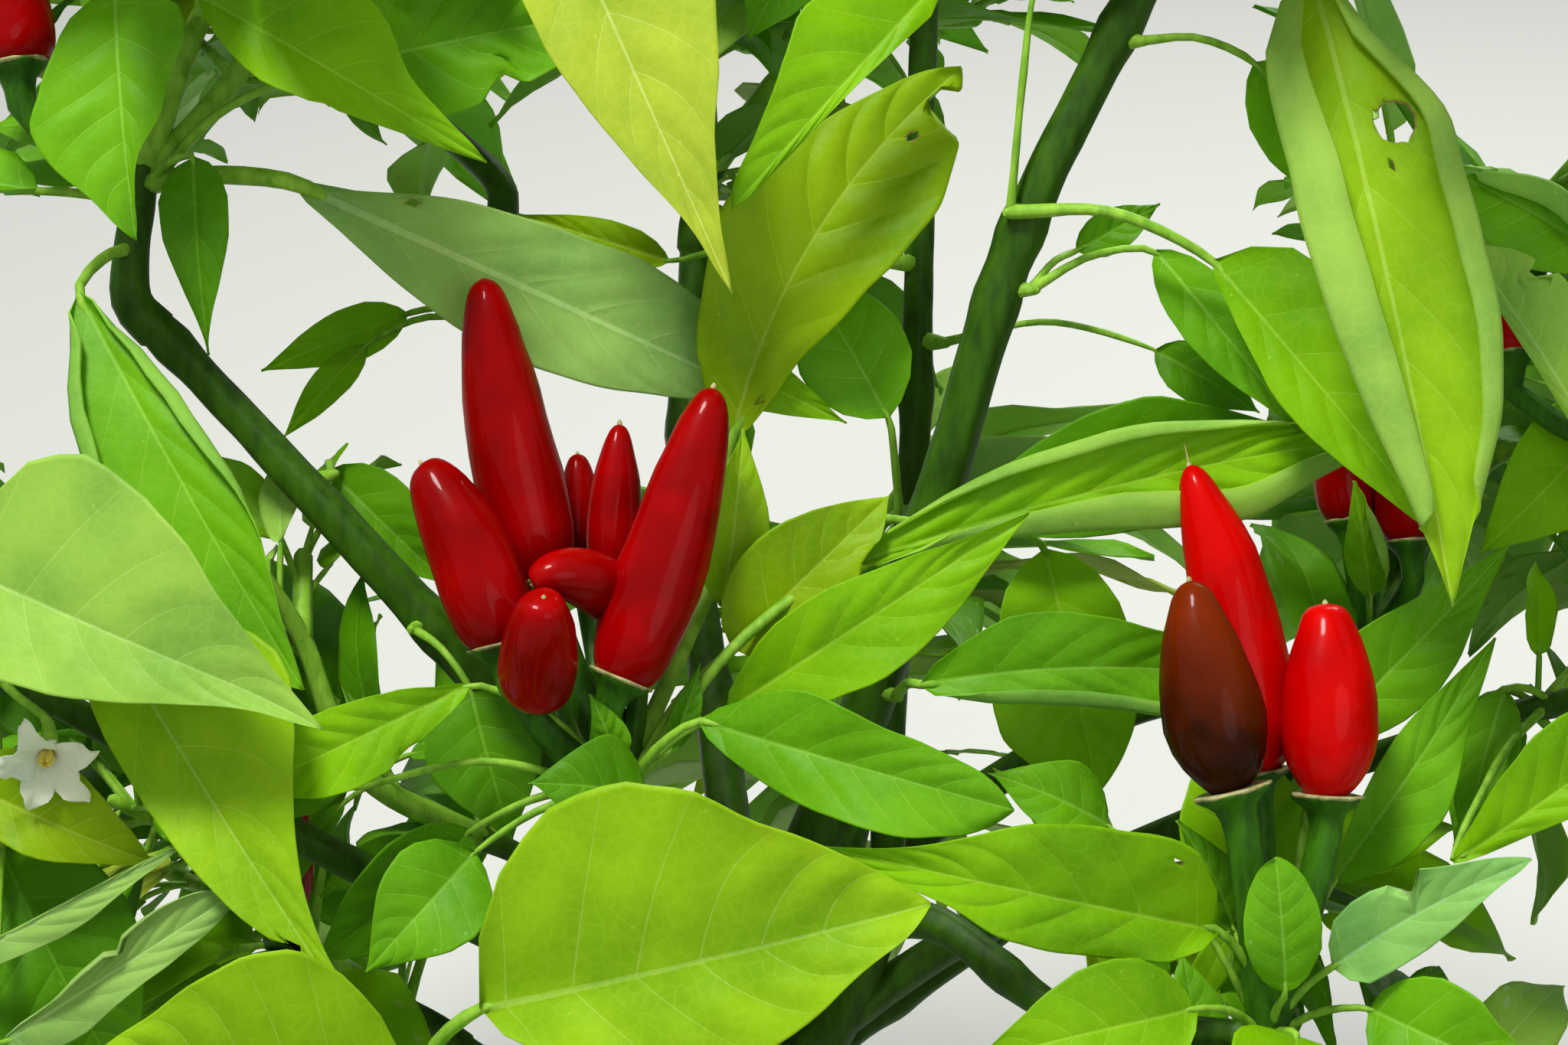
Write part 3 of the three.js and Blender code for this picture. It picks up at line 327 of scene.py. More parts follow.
# Each bough has the height where it leaves the trunk, its route, its radius at the trunk and at its
# tip, and its joints as shares of its length.
BOUGHS = {
    "left": (186, [seen(-40, -52, -34), seen(-68, -19, -26), seen(-121, 38, -27)], 5.2, 3.7, [0.55, 0.97]),
    "right": (188, [seen(14, -40, -40), seen(30, 7, -28), seen(45, 55, -18), seen(67, 100, -13),
                    seen(80, 124, -11)], 6, 3.6, [0.42, 0.62, 0.68, 0.86]),
    "middle": (150, [(14, 2, 168), seen(18, -78, -50), seen(20, -35, -48), seen(24, -2, -46),
                     seen(27, 100, -44), seen(29, 120, -43)], 4, 2.7, [0.5, 0.62]),
    "front_left": (183, [(-9, -14, 212), seen(-29, -54, -5)], 4.6, 3, [0.9]),
    "front_right": (180, [(16, -12, 203), seen(27, -76, -22), seen(54, -94, -6), seen(88, -98, -2)],
                    4.4, 2.8, [0.6]),
    "low_front": (158, [(-18, -20, 176), (-44, -46, 190)], 4, 2.6, [0.6]),
    "outer_left": (170, [(-40, -12, 200), (-92, -22, 236), (-134, -20, 262)],
                   4.4, 2.8, [0.35, 0.7]),
    "outer_right": (166, [(44, 6, 196), (98, 6, 226), (142, 0, 246)],
                    4.4, 2.8, [0.35, 0.7]),
    "back_right": (176, [(34, 28, 206), (76, 38, 230), (104, 40, 238)],
                   4.6, 3, [0.4, 0.75]),
    "back": (184, [(-6, 36, 224), (-14, 76, 272), (-12, 100, 316)],
             5, 3.2, [0.4, 0.75]),
    "back_left": (178, [(-30, 36, 216), (-52, 76, 272), (-54, 102, 322)],
                  4.8, 3, [0.35, 0.7]),
    "low_back": (140, [(10, 34, 158), (22, 72, 180)], 4, 2.6, [0.5]),
    "low_left": (126, [(-30, 12, 142), (-62, 22, 162)], 3.8, 2.6, [0.5]),
    "low_right": (134, [(30, -16, 150), (62, -32, 166)], 3.8, 2.6, [0.5]),
    "inner_left": (172, [(-18, 8, 190), (-40, 13, 206)], 3.4, 2.4, [0.6]),
    "inner_right": (160, [(24, 8, 174), (50, 15, 190)], 3.4, 2.4, [0.6]),
}
COLLAR = 1.6
COLLAR_LENGTH = 9
JOINT_SWELL = 0.75
JOINT_LENGTH = 4.5
BOUGH_STEP = 3
FEWEST_STEPS = 24
BOUGH_SHARE = 0.97
limbs = {}
for name, (height, route, thick, thin, joints) in BOUGHS.items():
    path = Path([trunk_axis(height)] + route)
    limbs[name] = (path, thick, thin)
    steps = max(FEWEST_STEPS, int(path.length / BOUGH_STEP))
    marks = []
    for i in range(steps + 1):
        along = path.length * i / steps
        radius = thick + (thin - thick) * i / steps + COLLAR * math.exp(-(along / COLLAR_LENGTH) ** 2)
        for joint in joints:
            radius += JOINT_SWELL * math.exp(-((along - joint * path.length) / JOINT_LENGTH) ** 2)
        marks.append((path.at(i / steps), BOUGH_SHARE * radius))
    bough = tubes("bough_skin_" + name, [marks], bough_skin, sides=20, lump_size=14, lump_depth=0.9)
    hand_over(bough, "green_stem", "bough_" + name)


# Leaves
# Chilli leaves are soft, smooth and pointed, with a pale midrib and pale side veins that curve
# forward. Between the veins the blade bulges a little, and light shines through it.
CLOUD_SIZE = 22
VEINLET_SPACING = 3
# Spacing of the small pale dots that are painted sun glints on the wax.
GLINT_SPACING = 8
DEEP_SHARES = (0.66, 0.76, 0.8)
PALE_LIFT = 0.03


# Thin living leaf: satin wax above, and green light through it. Its tone drifts over about 20 mm,
# with a faint net of veinlets about 3 mm apart and small pale dots about 8 mm apart that are painted sun
# glints.
def leaf_skin(name, face, glow, share, roughness=0.46):
    material, tree = new_material(name)
    where = add(tree, "ShaderNodeTexCoord").outputs["Object"]
    cloud = add(tree, "ShaderNodeTexNoise",
                {"Vector": where, "Scale": 1000 / CLOUD_SIZE, "Detail": 4}).outputs[0]
    net = add(tree, "ShaderNodeTexVoronoi", {"Vector": where, "Scale": 1000 / VEINLET_SPACING},
              feature="DISTANCE_TO_EDGE").outputs["Distance"]
    line = add(tree, "ShaderNodeMapRange", {"Value": net, "From Max": 0.1, "To Min": 0.16,
                                            "To Max": 0.0}).outputs[0]
    # Small pale dots about 0.4 mm across and 8 mm apart: painted sun glints, laid on in the pale tone with
    # the veinlets.
    glint_cells = add(tree, "ShaderNodeTexVoronoi",
               {"Vector": where, "Scale": 1000 / GLINT_SPACING}).outputs["Distance"]
    dot = add(tree, "ShaderNodeMapRange", {"Value": glint_cells, "From Min": 0.03, "From Max": 0.05, "To Min": 0.6,
                                           "To Max": 0.0}).outputs[0]
    marks = add(tree, "ShaderNodeMath", {0: line, 1: dot}, operation="MAXIMUM").outputs[0]
    red, green, blue, _ = hex_colour(face)
    deep = (*(part * share for part, share in zip((red, green, blue), DEEP_SHARES)), 1)
    pale = (min(1, red * 1.4 + PALE_LIFT), min(1, green * 1.15 + PALE_LIFT), blue * 1.5 + PALE_LIFT, 1)
    mottle = add(tree, "ShaderNodeMapRange", {"Value": cloud, "From Min": 0.34, "From Max": 0.6}).outputs[0]
    tissue = add(tree, "ShaderNodeMix", {0: mottle, 6: deep, 7: (red, green, blue, 1)},
                 data_type="RGBA").outputs[2]
    colour = add(tree, "ShaderNodeMix", {0: marks, 6: tissue, 7: pale}, data_type="RGBA").outputs[2]
    relief = add(tree, "ShaderNodeBump", {"Height": net, "Strength": 0.2, "Distance": 0.0004}).outputs[0]
    skin = add(tree, "ShaderNodeBsdfPrincipled", {"Base Color": colour, "Roughness": roughness,
                                                  "Specular IOR Level": 0.13, "Normal": relief}).outputs[0]
    through = add(tree, "ShaderNodeBsdfTranslucent", {"Color": hex_colour(glow)}).outputs[0]
    leaf = add(tree, "ShaderNodeMixShader", {0: share, 1: skin, 2: through}).outputs[0]
    add(tree, "ShaderNodeOutputMaterial", {"Surface": leaf})
    return material


# Each tint has its blade, the light through it, its veins and its underside.
TINTS = {
    "lime": ("#84BC04", "#A8D810", "#94C428", "#96C048"),
    "mid": ("#70B010", "#90CC18", "#84BC34", "#8CC048"),
    "blue": ("#94CC68", "#A4D460", "#A0D080", "#A0C884"),
    "dark": ("#5A9606", "#78B40C", "#6CA41C", "#80B040"),
    "yellow": ("#B8CC3C", "#D4E040", "#C8D868", "#C0CC78"),
    "olive": ("#8EB404", "#B8D410", "#A0BC30", "#A4B850"),
    "pale": ("#9EC850", "#B4DC50", "#AED26A", "#B0D084"),
    "bright": ("#98C414", "#B8DC1C", "#A8CC44", "#A4CC54"),
    "under": ("#94BC5C", "#A8CC54", "#A8CC74", "#98BC64"),
}
leaf_skins = {}
for tint, (blade, glow, vein, under) in TINTS.items():
    leaf_skins[tint] = [leaf_skin("leaf_blade_" + tint, blade, glow, share=0.33),
                        leaf_skin("leaf_vein_" + tint, vein, glow, share=0.25, roughness=0.5),
                        leaf_skin("leaf_under_" + tint, under, glow, share=0.33, roughness=0.6)]
# Dry edge: where a leaf was bitten or torn, its margin dries to a thin pale brown rim.
dry_edge = leaf_skin("leaf_dry_edge", "#B49A5C", "#B08A40", share=0.2, roughness=0.7)
# A place on a blade is told by its share of the length, from the base to the tip, and its share of
# the half width, from the midrib to the margin. Sizes are millimetres or shares of a half width.
SIDE_SPOTS = (0, 0.1, 0.25, 0.4, 0.55, 0.7, 0.85, 0.95, 1)
BASE_ROUNDING = 0.55
TIP_ROUNDING = 0.8
OUTLINE_POWERS = (0.75, 1.15)
LEAST_HALF = 0.25
# Side veins leave the midrib between these places, sweep forward and get thinner.
FIRST_VEIN = 0.06
VEIN_SPAN = 0.84
VEIN_SPREAD = 0.95
LAST_VEIN = 0.95
BLADE_END = 0.02
SWEEP = 0.27
SWEEP_POWER = 1.1
SWEEP_FADE = 0.3
VEIN_THINNING = 0.7
VEIN_RISE = 0.3
VEIN_KEEL = 0.2
RIB_TAPER = 0.72
RIB_SHARE = 0.45
MIDRIB_KEEL = 0.9
KEEL_TAPER = 0.8
SUNK_RIB = -0.6
RAISED_KEEL = 0.4
# The blade thins to its margin and its tip, and is uneven over about 8 mm.
MARGIN_THINNING = 0.45
TIP_THINNING = 0.4
ROUGH_SIZE = 8
NOISE_STEP = 11
LEFT_WAVE = 1.7
TWIST_START = 0.3
# A folded margin rolls over a small radius and lies back on the blade as a flap.
FLAP_RADIUS = 0.9
FLAP_TURN = 2.8
FLAP_SHARE = 0.3
FULL_LAP = 2
WIDEST_LAP = 0.8
FLAP_STEPS = [(0.3, 0), (0.65, 0), (1, 0), (1, 0.5), (1, 1)]
OFF_BLADE = 99
# A bite leaves a strip by the midrib, and bites and holes have dry rims.
BITE_REST = 0.6
BITE_RIM = 1.3
HOLE_START = 0.85
HOLE_RIM = 0.3
BLADE, VEIN, UNDER, MARGIN, DRY = range(5)


def outline(t, base_power, tip_power):
    widest = base_power / (base_power + tip_power)
    return (t / widest) ** base_power * ((1 - t) / (1 - widest)) ** tip_power


def half_width(t, measured):
    """Half a leaf's width, by a smooth curve through sizes read off the photo at SIDE_SPOTS."""
    marks = (0, *measured, 0)
    last = len(SIDE_SPOTS) - 2
    k = max(i for i in range(last + 1) if SIDE_SPOTS[i] <= t)
    gap = SIDE_SPOTS[k + 1] - SIDE_SPOTS[k]
    share = (t - SIDE_SPOTS[k]) / gap
    if k == 0:
        return measured[0] * share ** BASE_ROUNDING
    if k == last:
        return measured[-1] * max(0, 1 - share) ** TIP_ROUNDING
    low, high = ((marks[i + 1] - marks[i - 1]) / (SIDE_SPOTS[i + 1] - SIDE_SPOTS[i - 1])
                 for i in (k, k + 1))
    square, cube = share ** 2, share ** 3
    return ((2 * cube - 3 * square + 1) * marks[k] + (cube - 2 * square + share) * gap * low
            + (3 * square - 2 * cube) * marks[k + 1] + (cube - square) * gap * high)


def leaf_columns(ribs, fill):
    """Places along a blade, with the side of a vein that each edges and its share of the gap."""
    spots = [FIRST_VEIN + VEIN_SPAN * (k / ribs) ** VEIN_SPREAD for k in range(ribs)] + [LAST_VEIN]
    columns = [(0.0, 0, 0.0), (BLADE_END, 0, 0.0)]
    for low, high in zip(spots, spots[1:]):
        columns += [(low, -1, 0.0), (low, 1, 0.0)]
        columns += [(low + (high - low) * (i + 1) / (fill + 1), 0, (i + 1) / (fill + 1))
                    for i in range(fill)]
    return columns + [(LAST_VEIN, 0, 0.0), (1 - BLADE_END, 0, 0.0), (1.0, 0, 0.0)]


def leaf_lines(rows, flap):
    """Places from the midrib to each margin, as hand, share, roll into the flap and run over it."""
    lines = []
    for hand in (-1, 1):
        line = [(hand, s, 0, 0) for s in (0.0, *rows, 1.0)]
        if flap[hand > 0]:
            line += [(hand, 1.0, roll, over) for roll, over in FLAP_STEPS]
        lines.append(line)
    return lines


def dry_points(flat, upper, lower, quads, length, bites, holes):
    """The points at bites and holes, once those at a hole are pushed out to its round rim."""
    dry = set()
    for c in {c for quad in quads for c in quad}:
        x, y = flat[c]
        for at, off, size in holes:
            near = math.hypot(x - at * length, y - off)
            if near < size + HOLE_RIM:
                dry.add(c)
                push = Vector((x - at * length, y - off, 0)) / max(near, 0.1)
                upper[c] += push * max(0, size - near)
                lower[c] += push * (max(0, size - near) - HOLE_RIM)
        if any(y * hand > 0 and abs(x - at * length) < BITE_RIM * size for hand, at, size, _ in bites):
            dry.add(c)
    return dry


def close_blade(upper, lower, quads, parts, dry):
    """Both sides of a blade, joined along every edge that only one face has."""
    count = len(upper)
    free = set()
    for quad in quads:
        for a, b in zip(quad, quad[1:] + quad[:1]):
            if (b, a) in free:
                free.discard((b, a))
            else:
                free.add((a, b))
    faces = quads + [tuple(count + c for c in reversed(quad)) for quad in quads]
    parts = parts + [UNDER if part == BLADE else part for part in parts]
    for a, b in sorted(free):
        faces.append((b, a, count + a, count + b))
        parts.append(DRY if a in dry and b in dry else MARGIN)
    return upper + lower, faces, parts


def leaf_form(length, width, arch=4, fold=12, ribs=5, fill=2, rows=(0.25, 0.5, 0.75, 0.94), thick=0.6,
              midrib=0.4, vein=0.13, quilt=0.42, wave=0.8, waves=1.4, phase=0.0, rough=0.5, droop=0.0,
              twist=0.0, bend=0.0, hook=0.0, ruffle=0.05, flap=(0, 0), flap_span=(0, 1), bites=(),
              holes=(), powers=(0.72, 1.25), sides=None, raised=False):
    """A closed blade along X with its upper side up. Its right hand is told first, then its left."""
    columns = leaf_columns(ribs, fill)
    lines = leaf_lines(rows, flap)
    across = lines[0][::-1] + [(0, 0.0, 0, 0)] + lines[1]
    middle = len(lines[0])
    lean = math.radians(fold)

    def margin(t, side):
        half = half_width(t, sides[side > 0]) if sides else width / 2 * outline(t, *powers)
        half *= 1 + ruffle * noise.noise(Vector((8 * t, 3 * side, NOISE_STEP * phase)))
        for hand, at, size, deep in bites:
            if side == hand:
                near = abs(t - at) * length / size
                notch = deep * math.exp(-near ** 4) * (1 + 0.2 * math.sin(9 * near))
                half -= max(0, min(half - BITE_REST, notch))
        return max(LEAST_HALF, half)

    def relief(t, side, s, out, bank, share):
        bulge = quilt * math.sin(math.pi * share) * math.sin(math.pi * min(1, s + 0.06)) ** 0.8
        if bank and s:
            bulge += (VEIN_RISE if raised else -VEIN_RISE * quilt) * (1 - s)
        if s == 0:
            bulge += midrib * (1 - t) * (0.5 if side == 0 else 0.25) * (1 if raised else SUNK_RIB)
        bulge += wave * s * s * math.sin(2 * math.pi * (waves * t + phase) + LEFT_WAVE * (side > 0))
        spot = Vector((t * length / ROUGH_SIZE, side * out / ROUGH_SIZE, 5 + NOISE_STEP * phase))
        return bulge + rough * noise.noise(spot)

    def lay(t, side, out, height):
        y, z = side * out * math.cos(lean), out * math.sin(lean) + height
        turn = twist * (t - TWIST_START)
        y, z = y * math.cos(turn) - z * math.sin(turn), y * math.sin(turn) + z * math.cos(turn)
        return Vector((t * length, y + bend * 4 * t * (1 - t) + hook * max(0, 4 * t - 3) ** 2,
                       z + arch * 4 * t * (1 - t) - droop * t ** 3))

    upper, lower, flat = [], [], []
    for u, bank, share in columns:
        for side, s, roll, over in across:
            forward = SWEEP * s ** SWEEP_POWER * 4 * u * (1 - u) * (1 - SWEEP_FADE * u)
            t = min(1.0, max(0.0, u + bank * vein * (1 - VEIN_THINNING * s) / length + forward))
            half = margin(t, side)
            along = min(1, max(0, (t - flap_span[0]) / (flap_span[1] - flap_span[0])))
            lap = min(flap[side > 0] * max(0, math.sin(math.pi * along)) ** 0.5, WIDEST_LAP * half)
            strength = min(1, lap / FULL_LAP)
            radius = min(FLAP_RADIUS, FLAP_SHARE * half) * strength
            rib = min(midrib * (1 - RIB_TAPER * t), RIB_SHARE * half)
            out = rib + (half - radius - rib) * s if side else 0.0
            height = relief(t, side, s, out, bank, share)
            angle = FLAP_TURN * strength * roll
            out += radius * math.sin(angle) + over * lap * math.cos(angle)
            height += radius * (1 - math.cos(angle)) + over * lap * math.sin(angle)
            flat.append((t * length, side * (OFF_BLADE if roll else out)))
            keel = VEIN_KEEL * (1 - s) if bank else 0
            if side == 0:
                keel = MIDRIB_KEEL * midrib * (1 - KEEL_TAPER * t)
            body = thick * (1 - MARGIN_THINNING * s) * (1 - TIP_THINNING * t)
            body += keel * (RAISED_KEEL if raised else 1)
            upper.append(lay(t, side, out, height))
            lower.append(lay(t, side, out + body * math.sin(angle), height - body * math.cos(angle)))
    wide = len(across)
    quads, parts = [], []
    for i, (_, bank, _) in enumerate(columns[:-1]):
        for j in range(wide - 1):
            corners = (i * wide + j, (i + 1) * wide + j, (i + 1) * wide + j + 1, i * wide + j + 1)
            x, y = (sum(flat[c][axis] for c in corners) / 4 for axis in (0, 1))
            if any(math.hypot(x - at * length, y - off) < HOLE_START * size for at, off, size in holes):
                continue
            on_rib = j in (middle - 1, middle) or (bank == -1 and 0 < j < wide - 2)
            quads.append(corners)
            parts.append(VEIN if on_rib else BLADE)
    dry = dry_points(flat, upper, lower, quads, length, bites, holes)
    return close_blade(upper, lower, quads, parts, dry)


def leaf_frame(base, tip, face):
    axis = (tip - base).normalized()
    rise = (face - face.dot(axis) * axis).normalized()
    side = rise.cross(axis)
    return Matrix((axis, side, rise)).transposed()


# Everything placed so far is kept as sample points in cells, so that crowding can be tested.
CELL = 14
OWN_ROOT = 10
SAMPLE_STEP = 8
cells = {}


def occupy(points, reach, owner):
    for p in points:
        key = tuple(math.floor(c / CELL) for c in p)
        cells.setdefault(key, []).append((p, reach, owner))


def crowded(points, gap, owner, root):
    steps = (-1, 0, 1)
    for p in points:
        x, y, z = (math.floor(c / CELL) for c in p)
        for key in ((x + i, y + j, z + k) for i in steps for j in steps for k in steps):
            for other, reach, name in cells.get(key, ()):
                near = (p - other).length < gap + reach
                if near and not (name == owner and (other - root).length < OWN_ROOT):
                    return True
    return False


def between(start, to, step=SAMPLE_STEP):
    count = max(1, math.ceil((to - start).length / step))
    return [start.lerp(to, i / count) for i in range(count + 1)]


for name, (path, thick, thin) in limbs.items():
    count = math.ceil(path.length / SAMPLE_STEP)
    for i in range(count + 1):
        occupy([path.at(i / count)], thick + (thin - thick) * i / count, name)
occupy([trunk_axis(z) for z in range(0, FORK_HEIGHT, SAMPLE_STEP)], TRUNK_RADIUS, "trunk")

# Stems of the masses
# Each bough carries a leafy shoot: a soft green stem, twigs that fork from it, and leaf stalks.
# They are round and sappy, and each grows out of the joint below it.
TWIG_RADIUS = [0, 2.8, 2.5, 2.2]
SIDE_TWIG = [1.9, 1.5]
JOINT_GAP = 0.3
NODE_STEP = 1.6
LOWEST_NODE = 0.6
STALK_STEP = 2.5
STRAIGHT_RUN = 5
OVERLAP = 2
LIMB_SHARES = (1.15, 0.95)
SPRAY_RADII = [2.4, 1.8, 1.0]
SPRAY_ROOT = 0.85
# A stem closes with a smaller ring past each end: how far past it, and its radius, as shares.
FOOT_RING = (0.6, 0.6)
END_RING = (0.7, 0.55)
masses = {}


class Shoot:
    """The stems, leaves and fruit of one mass or spray, while they are being laid."""

    def __init__(self, name, root, seed=0, space=None):
        self.name, self.root, self.seed, self.space = name, root, seed, space
        self.path, self.used, self.heading = None, 0, None
        self.limbs, self.stems, self.stalks, self.rims = [], [], [], []
        self.blades, self.sprigs, self.fruit = [], [], []
        masses[name] = self

    def node(self, root):
        """Leaves and fruit of the mass's own root leave its stem one below the other."""
        if root is not self.root or self.path is None:
            return root
        self.used += 1
        return self.path.at(1 - min(LOWEST_NODE, NODE_STEP * (self.used + 1) / self.path.length))

    def stem(self, points, radii, steps=None):
        path = Path(points)
        steps = steps or max(3, int(path.length / STALK_STEP))
        marks = []
        for i in range(steps + 1):
            share = i / steps * (len(radii) - 1)
            low = min(int(share), len(radii) - 2)
            radius = radii[low] + (radii[low + 1] - radii[low]) * (share - low)
            marks.append((path.at(i / steps), radius))
        (foot, thick), (end, thin) = marks[0], marks[-1]
        self.stems.append([(foot - FOOT_RING[0] * thick * path.way(0), FOOT_RING[1] * thick), *marks,
                           (end + END_RING[0] * thin * path.way(1), END_RING[1] * thin)])


def add_mass(name, bough, route, space, seed):
    path, _, thin = limbs[bough]
    way = path.way(1)
    start = path.at(1) + JOINT_GAP * way
    first = start + STRAIGHT_RUN * way
    shoot = Shoot(name, Vector(route[-1]), seed, [Vector(part) for part in space])
    shoot.path = Path([start, first, *route])
    shoot.heading = shoot.path.way(1)
    radii = [thin * LIMB_SHARES[0], thin * LIMB_SHARES[1], TWIG_RADIUS[1]]
    shoot.stem([start - OVERLAP * way, first, *route], radii)
    shoot.limbs.append(shoot.stems.pop())
    occupy(between(first, shoot.root), TWIG_RADIUS[1], name)
    return shoot


def add_spray(name, bough, height, reach):
    path, _, _ = limbs[bough]
    along = 0
    while along < 1 and path.at(along).z < height:
        along += 0.01
    bud = path.at(along)
    end = bud + Vector(reach)
    shoot = Shoot(name, bud.lerp(end, SPRAY_ROOT))
    shoot.stem([bud, bud.lerp(end, 0.5), end], SPRAY_RADII)
    return shoot


def add_twig(shoot, start, to):
    shoot.stem([start, to], SIDE_TWIG)
    occupy(between(start, to), SIDE_TWIG[1], shoot.name)


PETIOLE = (1.3, 1.0, 0.95, 0.9, 0.45)
PETIOLE_STEP = 3
PETIOLE_STEPS = 8
UNDER_BLADE = 0.12


# A leaf stalk arches up and over, is thicker at its root, and runs on under the blade as its midrib.
def petiole(shoot, root, base, tip, size=1.0, rise=0.12, by=None):
    reach = (base - root).length
    crest = by or root.lerp(base, 0.5) + Vector((0, 0, rise * reach))
    radii = [size * radius for radius in PETIOLE]
    steps = max(PETIOLE_STEPS, int(reach / PETIOLE_STEP))
    shoot.stem([root, crest, base, base.lerp(tip, UNDER_BLADE)], radii, steps)


def spine_points(base, tip, width, frame_of, arch, fold):
    """Samples of a leaf's middle, its rims and the places half way to them."""
    length = (tip - base).length
    rows = math.ceil(length / SAMPLE_STEP)
    points = [tip]
    for i in range(rows):
        t = (i + 0.5) / rows
        half = width / 2 * outline(t, *OUTLINE_POWERS)
        middle = base + frame_of @ Vector((length * t, 0, arch * 4 * t * (1 - t)))
        points.append(middle)
        for hand in (-1, 1):
            rim = middle + frame_of @ Vector((0, hand * half * math.cos(fold), half * math.sin(fold)))
            points += [rim, middle.lerp(rim, 0.5)]
    return points


# A leaf of the show side has its own tint, outline, flaps, bites and holes. Its bites are told by
# hand, place along it, width and depth, and its holes by place along it, distance off it and radius.
COARSE = {"ribs": 5, "fill": 2, "rows": (0.25, 0.5, 0.75, 0.94)}
FINE = {"ribs": 6, "fill": 3, "rows": (0.13, 0.27, 0.42, 0.57, 0.72, 0.86, 0.96)}
FINEST = {"ribs": 6, "fill": 9, "rows": [k / 18 for k in range(1, 18)]}
SHORT_LEAF = 45
PHASE_STEP = 0.37
LEAF_THICKNESS = 0.01
THINNEST_STALK = 0.65
STALK_GROWTH = 190


def show_leaf(shoot, root, base, tip, width, turn=0, arch=4, fold=12, tint="lime", stalk=1.0,
              rise=0.12, by=None, **form):
    base, tip = seen(*base), seen(*tip)
    root = shoot.node(root)
    face = Quaternion((tip - base).normalized(), math.radians(turn)) @ -LOOK
    turned = leaf_frame(base, tip, face)
    length = (tip - base).length
    form.setdefault("phase", PHASE_STEP * len(shoot.blades))
    form = {**(FINEST if form.get("holes") else FINE if length > SHORT_LEAF else COARSE), **form}
    points, faces, parts = leaf_form(length, width, arch, fold, thick=LEAF_THICKNESS * length, **form)
    shoot.blades.append(([base + turned @ p for p in points], faces, parts, tint))
    size = stalk * (THINNEST_STALK + length / STALK_GROWTH)
    petiole(shoot, root, base, tip, size, rise, by and seen(*by))
    occupy(spine_points(base, tip, width, turned, arch, math.radians(fold)), 0, shoot.name)


# Fruit
# Chillies stand upright in clusters: blunt, glossy cones that taper to a small dry tip, smooth
# skinned over firm flesh. Each stands in the green cup of a thick stalk.
FRUIT_PROFILE = [(0, 0.5), (0.012, 0.64), (0.03, 0.74), (0.06, 0.84), (0.1, 0.915), (0.16, 0.975), (0.24, 1),
                 (0.34, 0.99), (0.44, 0.96), (0.53, 0.915), (0.62, 0.855), (0.7, 0.785), (0.77, 0.7),
                 (0.83, 0.62), (0.88, 0.54), (0.92, 0.465), (0.95, 0.39), (0.972, 0.31), (0.987, 0.22),
                 (0.996, 0.11), (1, 0.04)]
ARC_STEPS = 40
TAPER_SPAN = 0.4
FLESH_CLOUD = 15
PORE_SPACING = 1.5


# Ripe chilli skin: waxy and very smooth, so highlights are small and clear. The red is deep,
# with slow changes where the flesh under it is thicker, over about 15 mm.
def chilli_skin(name, deep, bright, top_highlight, height):
    material, tree = new_material(name)
    where = add(tree, "ShaderNodeTexCoord").outputs["Object"]
    cloud = add(tree, "ShaderNodeTexNoise",
                {"Vector": where, "Scale": 1000 / FLESH_CLOUD, "Detail": 2}).outputs[0]
    colour = two_tone(tree, cloud, deep, bright, 0.35, 0.65)
    # A turning fruit grows lighter orange-brown between two heights near its top: a painted highlight.
    if top_highlight:
        level = add(tree, "ShaderNodeSeparateXYZ", {0: where}).outputs["Z"]
        wobble = add(tree, "ShaderNodeMath", {0: cloud, 1: 0.02, 2: level},
                     operation="MULTIPLY_ADD").outputs[0]
        rise = add(tree, "ShaderNodeMapRange",
                   {"Value": wobble, "From Min": height[0], "From Max": height[1]}).outputs[0]
        colour = add(tree, "ShaderNodeMix", {0: rise, 6: colour, 7: hex_colour(top_highlight)},
                     data_type="RGBA").outputs[2]
    pores = add(tree, "ShaderNodeTexNoise",
                {"Vector": where, "Scale": 1000 / PORE_SPACING, "Detail": 2}).outputs[0]
    relief = add(tree, "ShaderNodeBump", {"Height": pores, "Strength": 0.04, "Distance": 0.0003}).outputs[0]
    shader = add(tree, "ShaderNodeBsdfPrincipled", {
        "Base Color": colour, "Roughness": 0.32, "IOR": 1.45, "Specular IOR Level": 0.03,
        "Coat Weight": 0.12, "Coat Roughness": 0.04, "Subsurface Weight": 0.08,
        "Subsurface Scale": 0.003, "Subsurface Radius": (1.0, 0.05, 0.02), "Normal": relief}).outputs[0]
    add(tree, "ShaderNodeOutputMaterial", {"Surface": shader})
    return material


fruit_skins = {
    "deep": chilli_skin("ripe_deep_red_skin", "#740000", "#920001", None, None),
    "bright": chilli_skin("ripe_bright_red_skin", "#A20001", "#BE0200", None, None),
    # The last colour and the two heights paint a lighter orange-brown highlight on the top of the turning
    # fruit.
    "turning": chilli_skin("turning_brown_skin", "#240A01", "#381201", "#6A2002", (0.274, 0.292)),
}
stalk_skin = stem_skin("green_stalk_skin", "#1E4602", "#386C08")
# Dry rim: the calyx edge and the withered style at a fruit's tip are papery and pale brown.
dry_rim = stem_skin("dry_calyx_rim", "#706A38", "#B2AE7C")


def bent(foot, tip, bow, t):
    middle = foot.lerp(tip, 0.5) + bow
    return foot.lerp(middle, t).lerp(middle.lerp(tip, t), t)


def fruit_marks(foot, tip, bow, width, blunt=1.0, taper=0.1):
    arc = [bent(foot, tip, bow, i / ARC_STEPS) for i in range(ARC_STEPS + 1)]
    reach = [0.0]
    for before, after in zip(arc, arc[1:]):
        reach.append(reach[-1] + (after - before).length)
    marks = []
    for share, radius in FRUIT_PROFILE:
        target = share * reach[-1]
        low = min(ARC_STEPS - 1, sum(1 for r in reach[1:] if r <= target))
        part = (target - reach[low]) / (reach[low + 1] - reach[low])
        slim = 1 - taper * max(0, 1 - share / TAPER_SPAN) ** 2
        marks.append((arc[low].lerp(arc[low + 1], part), slim * radius ** (1 / blunt) * width / 2))
    return marks


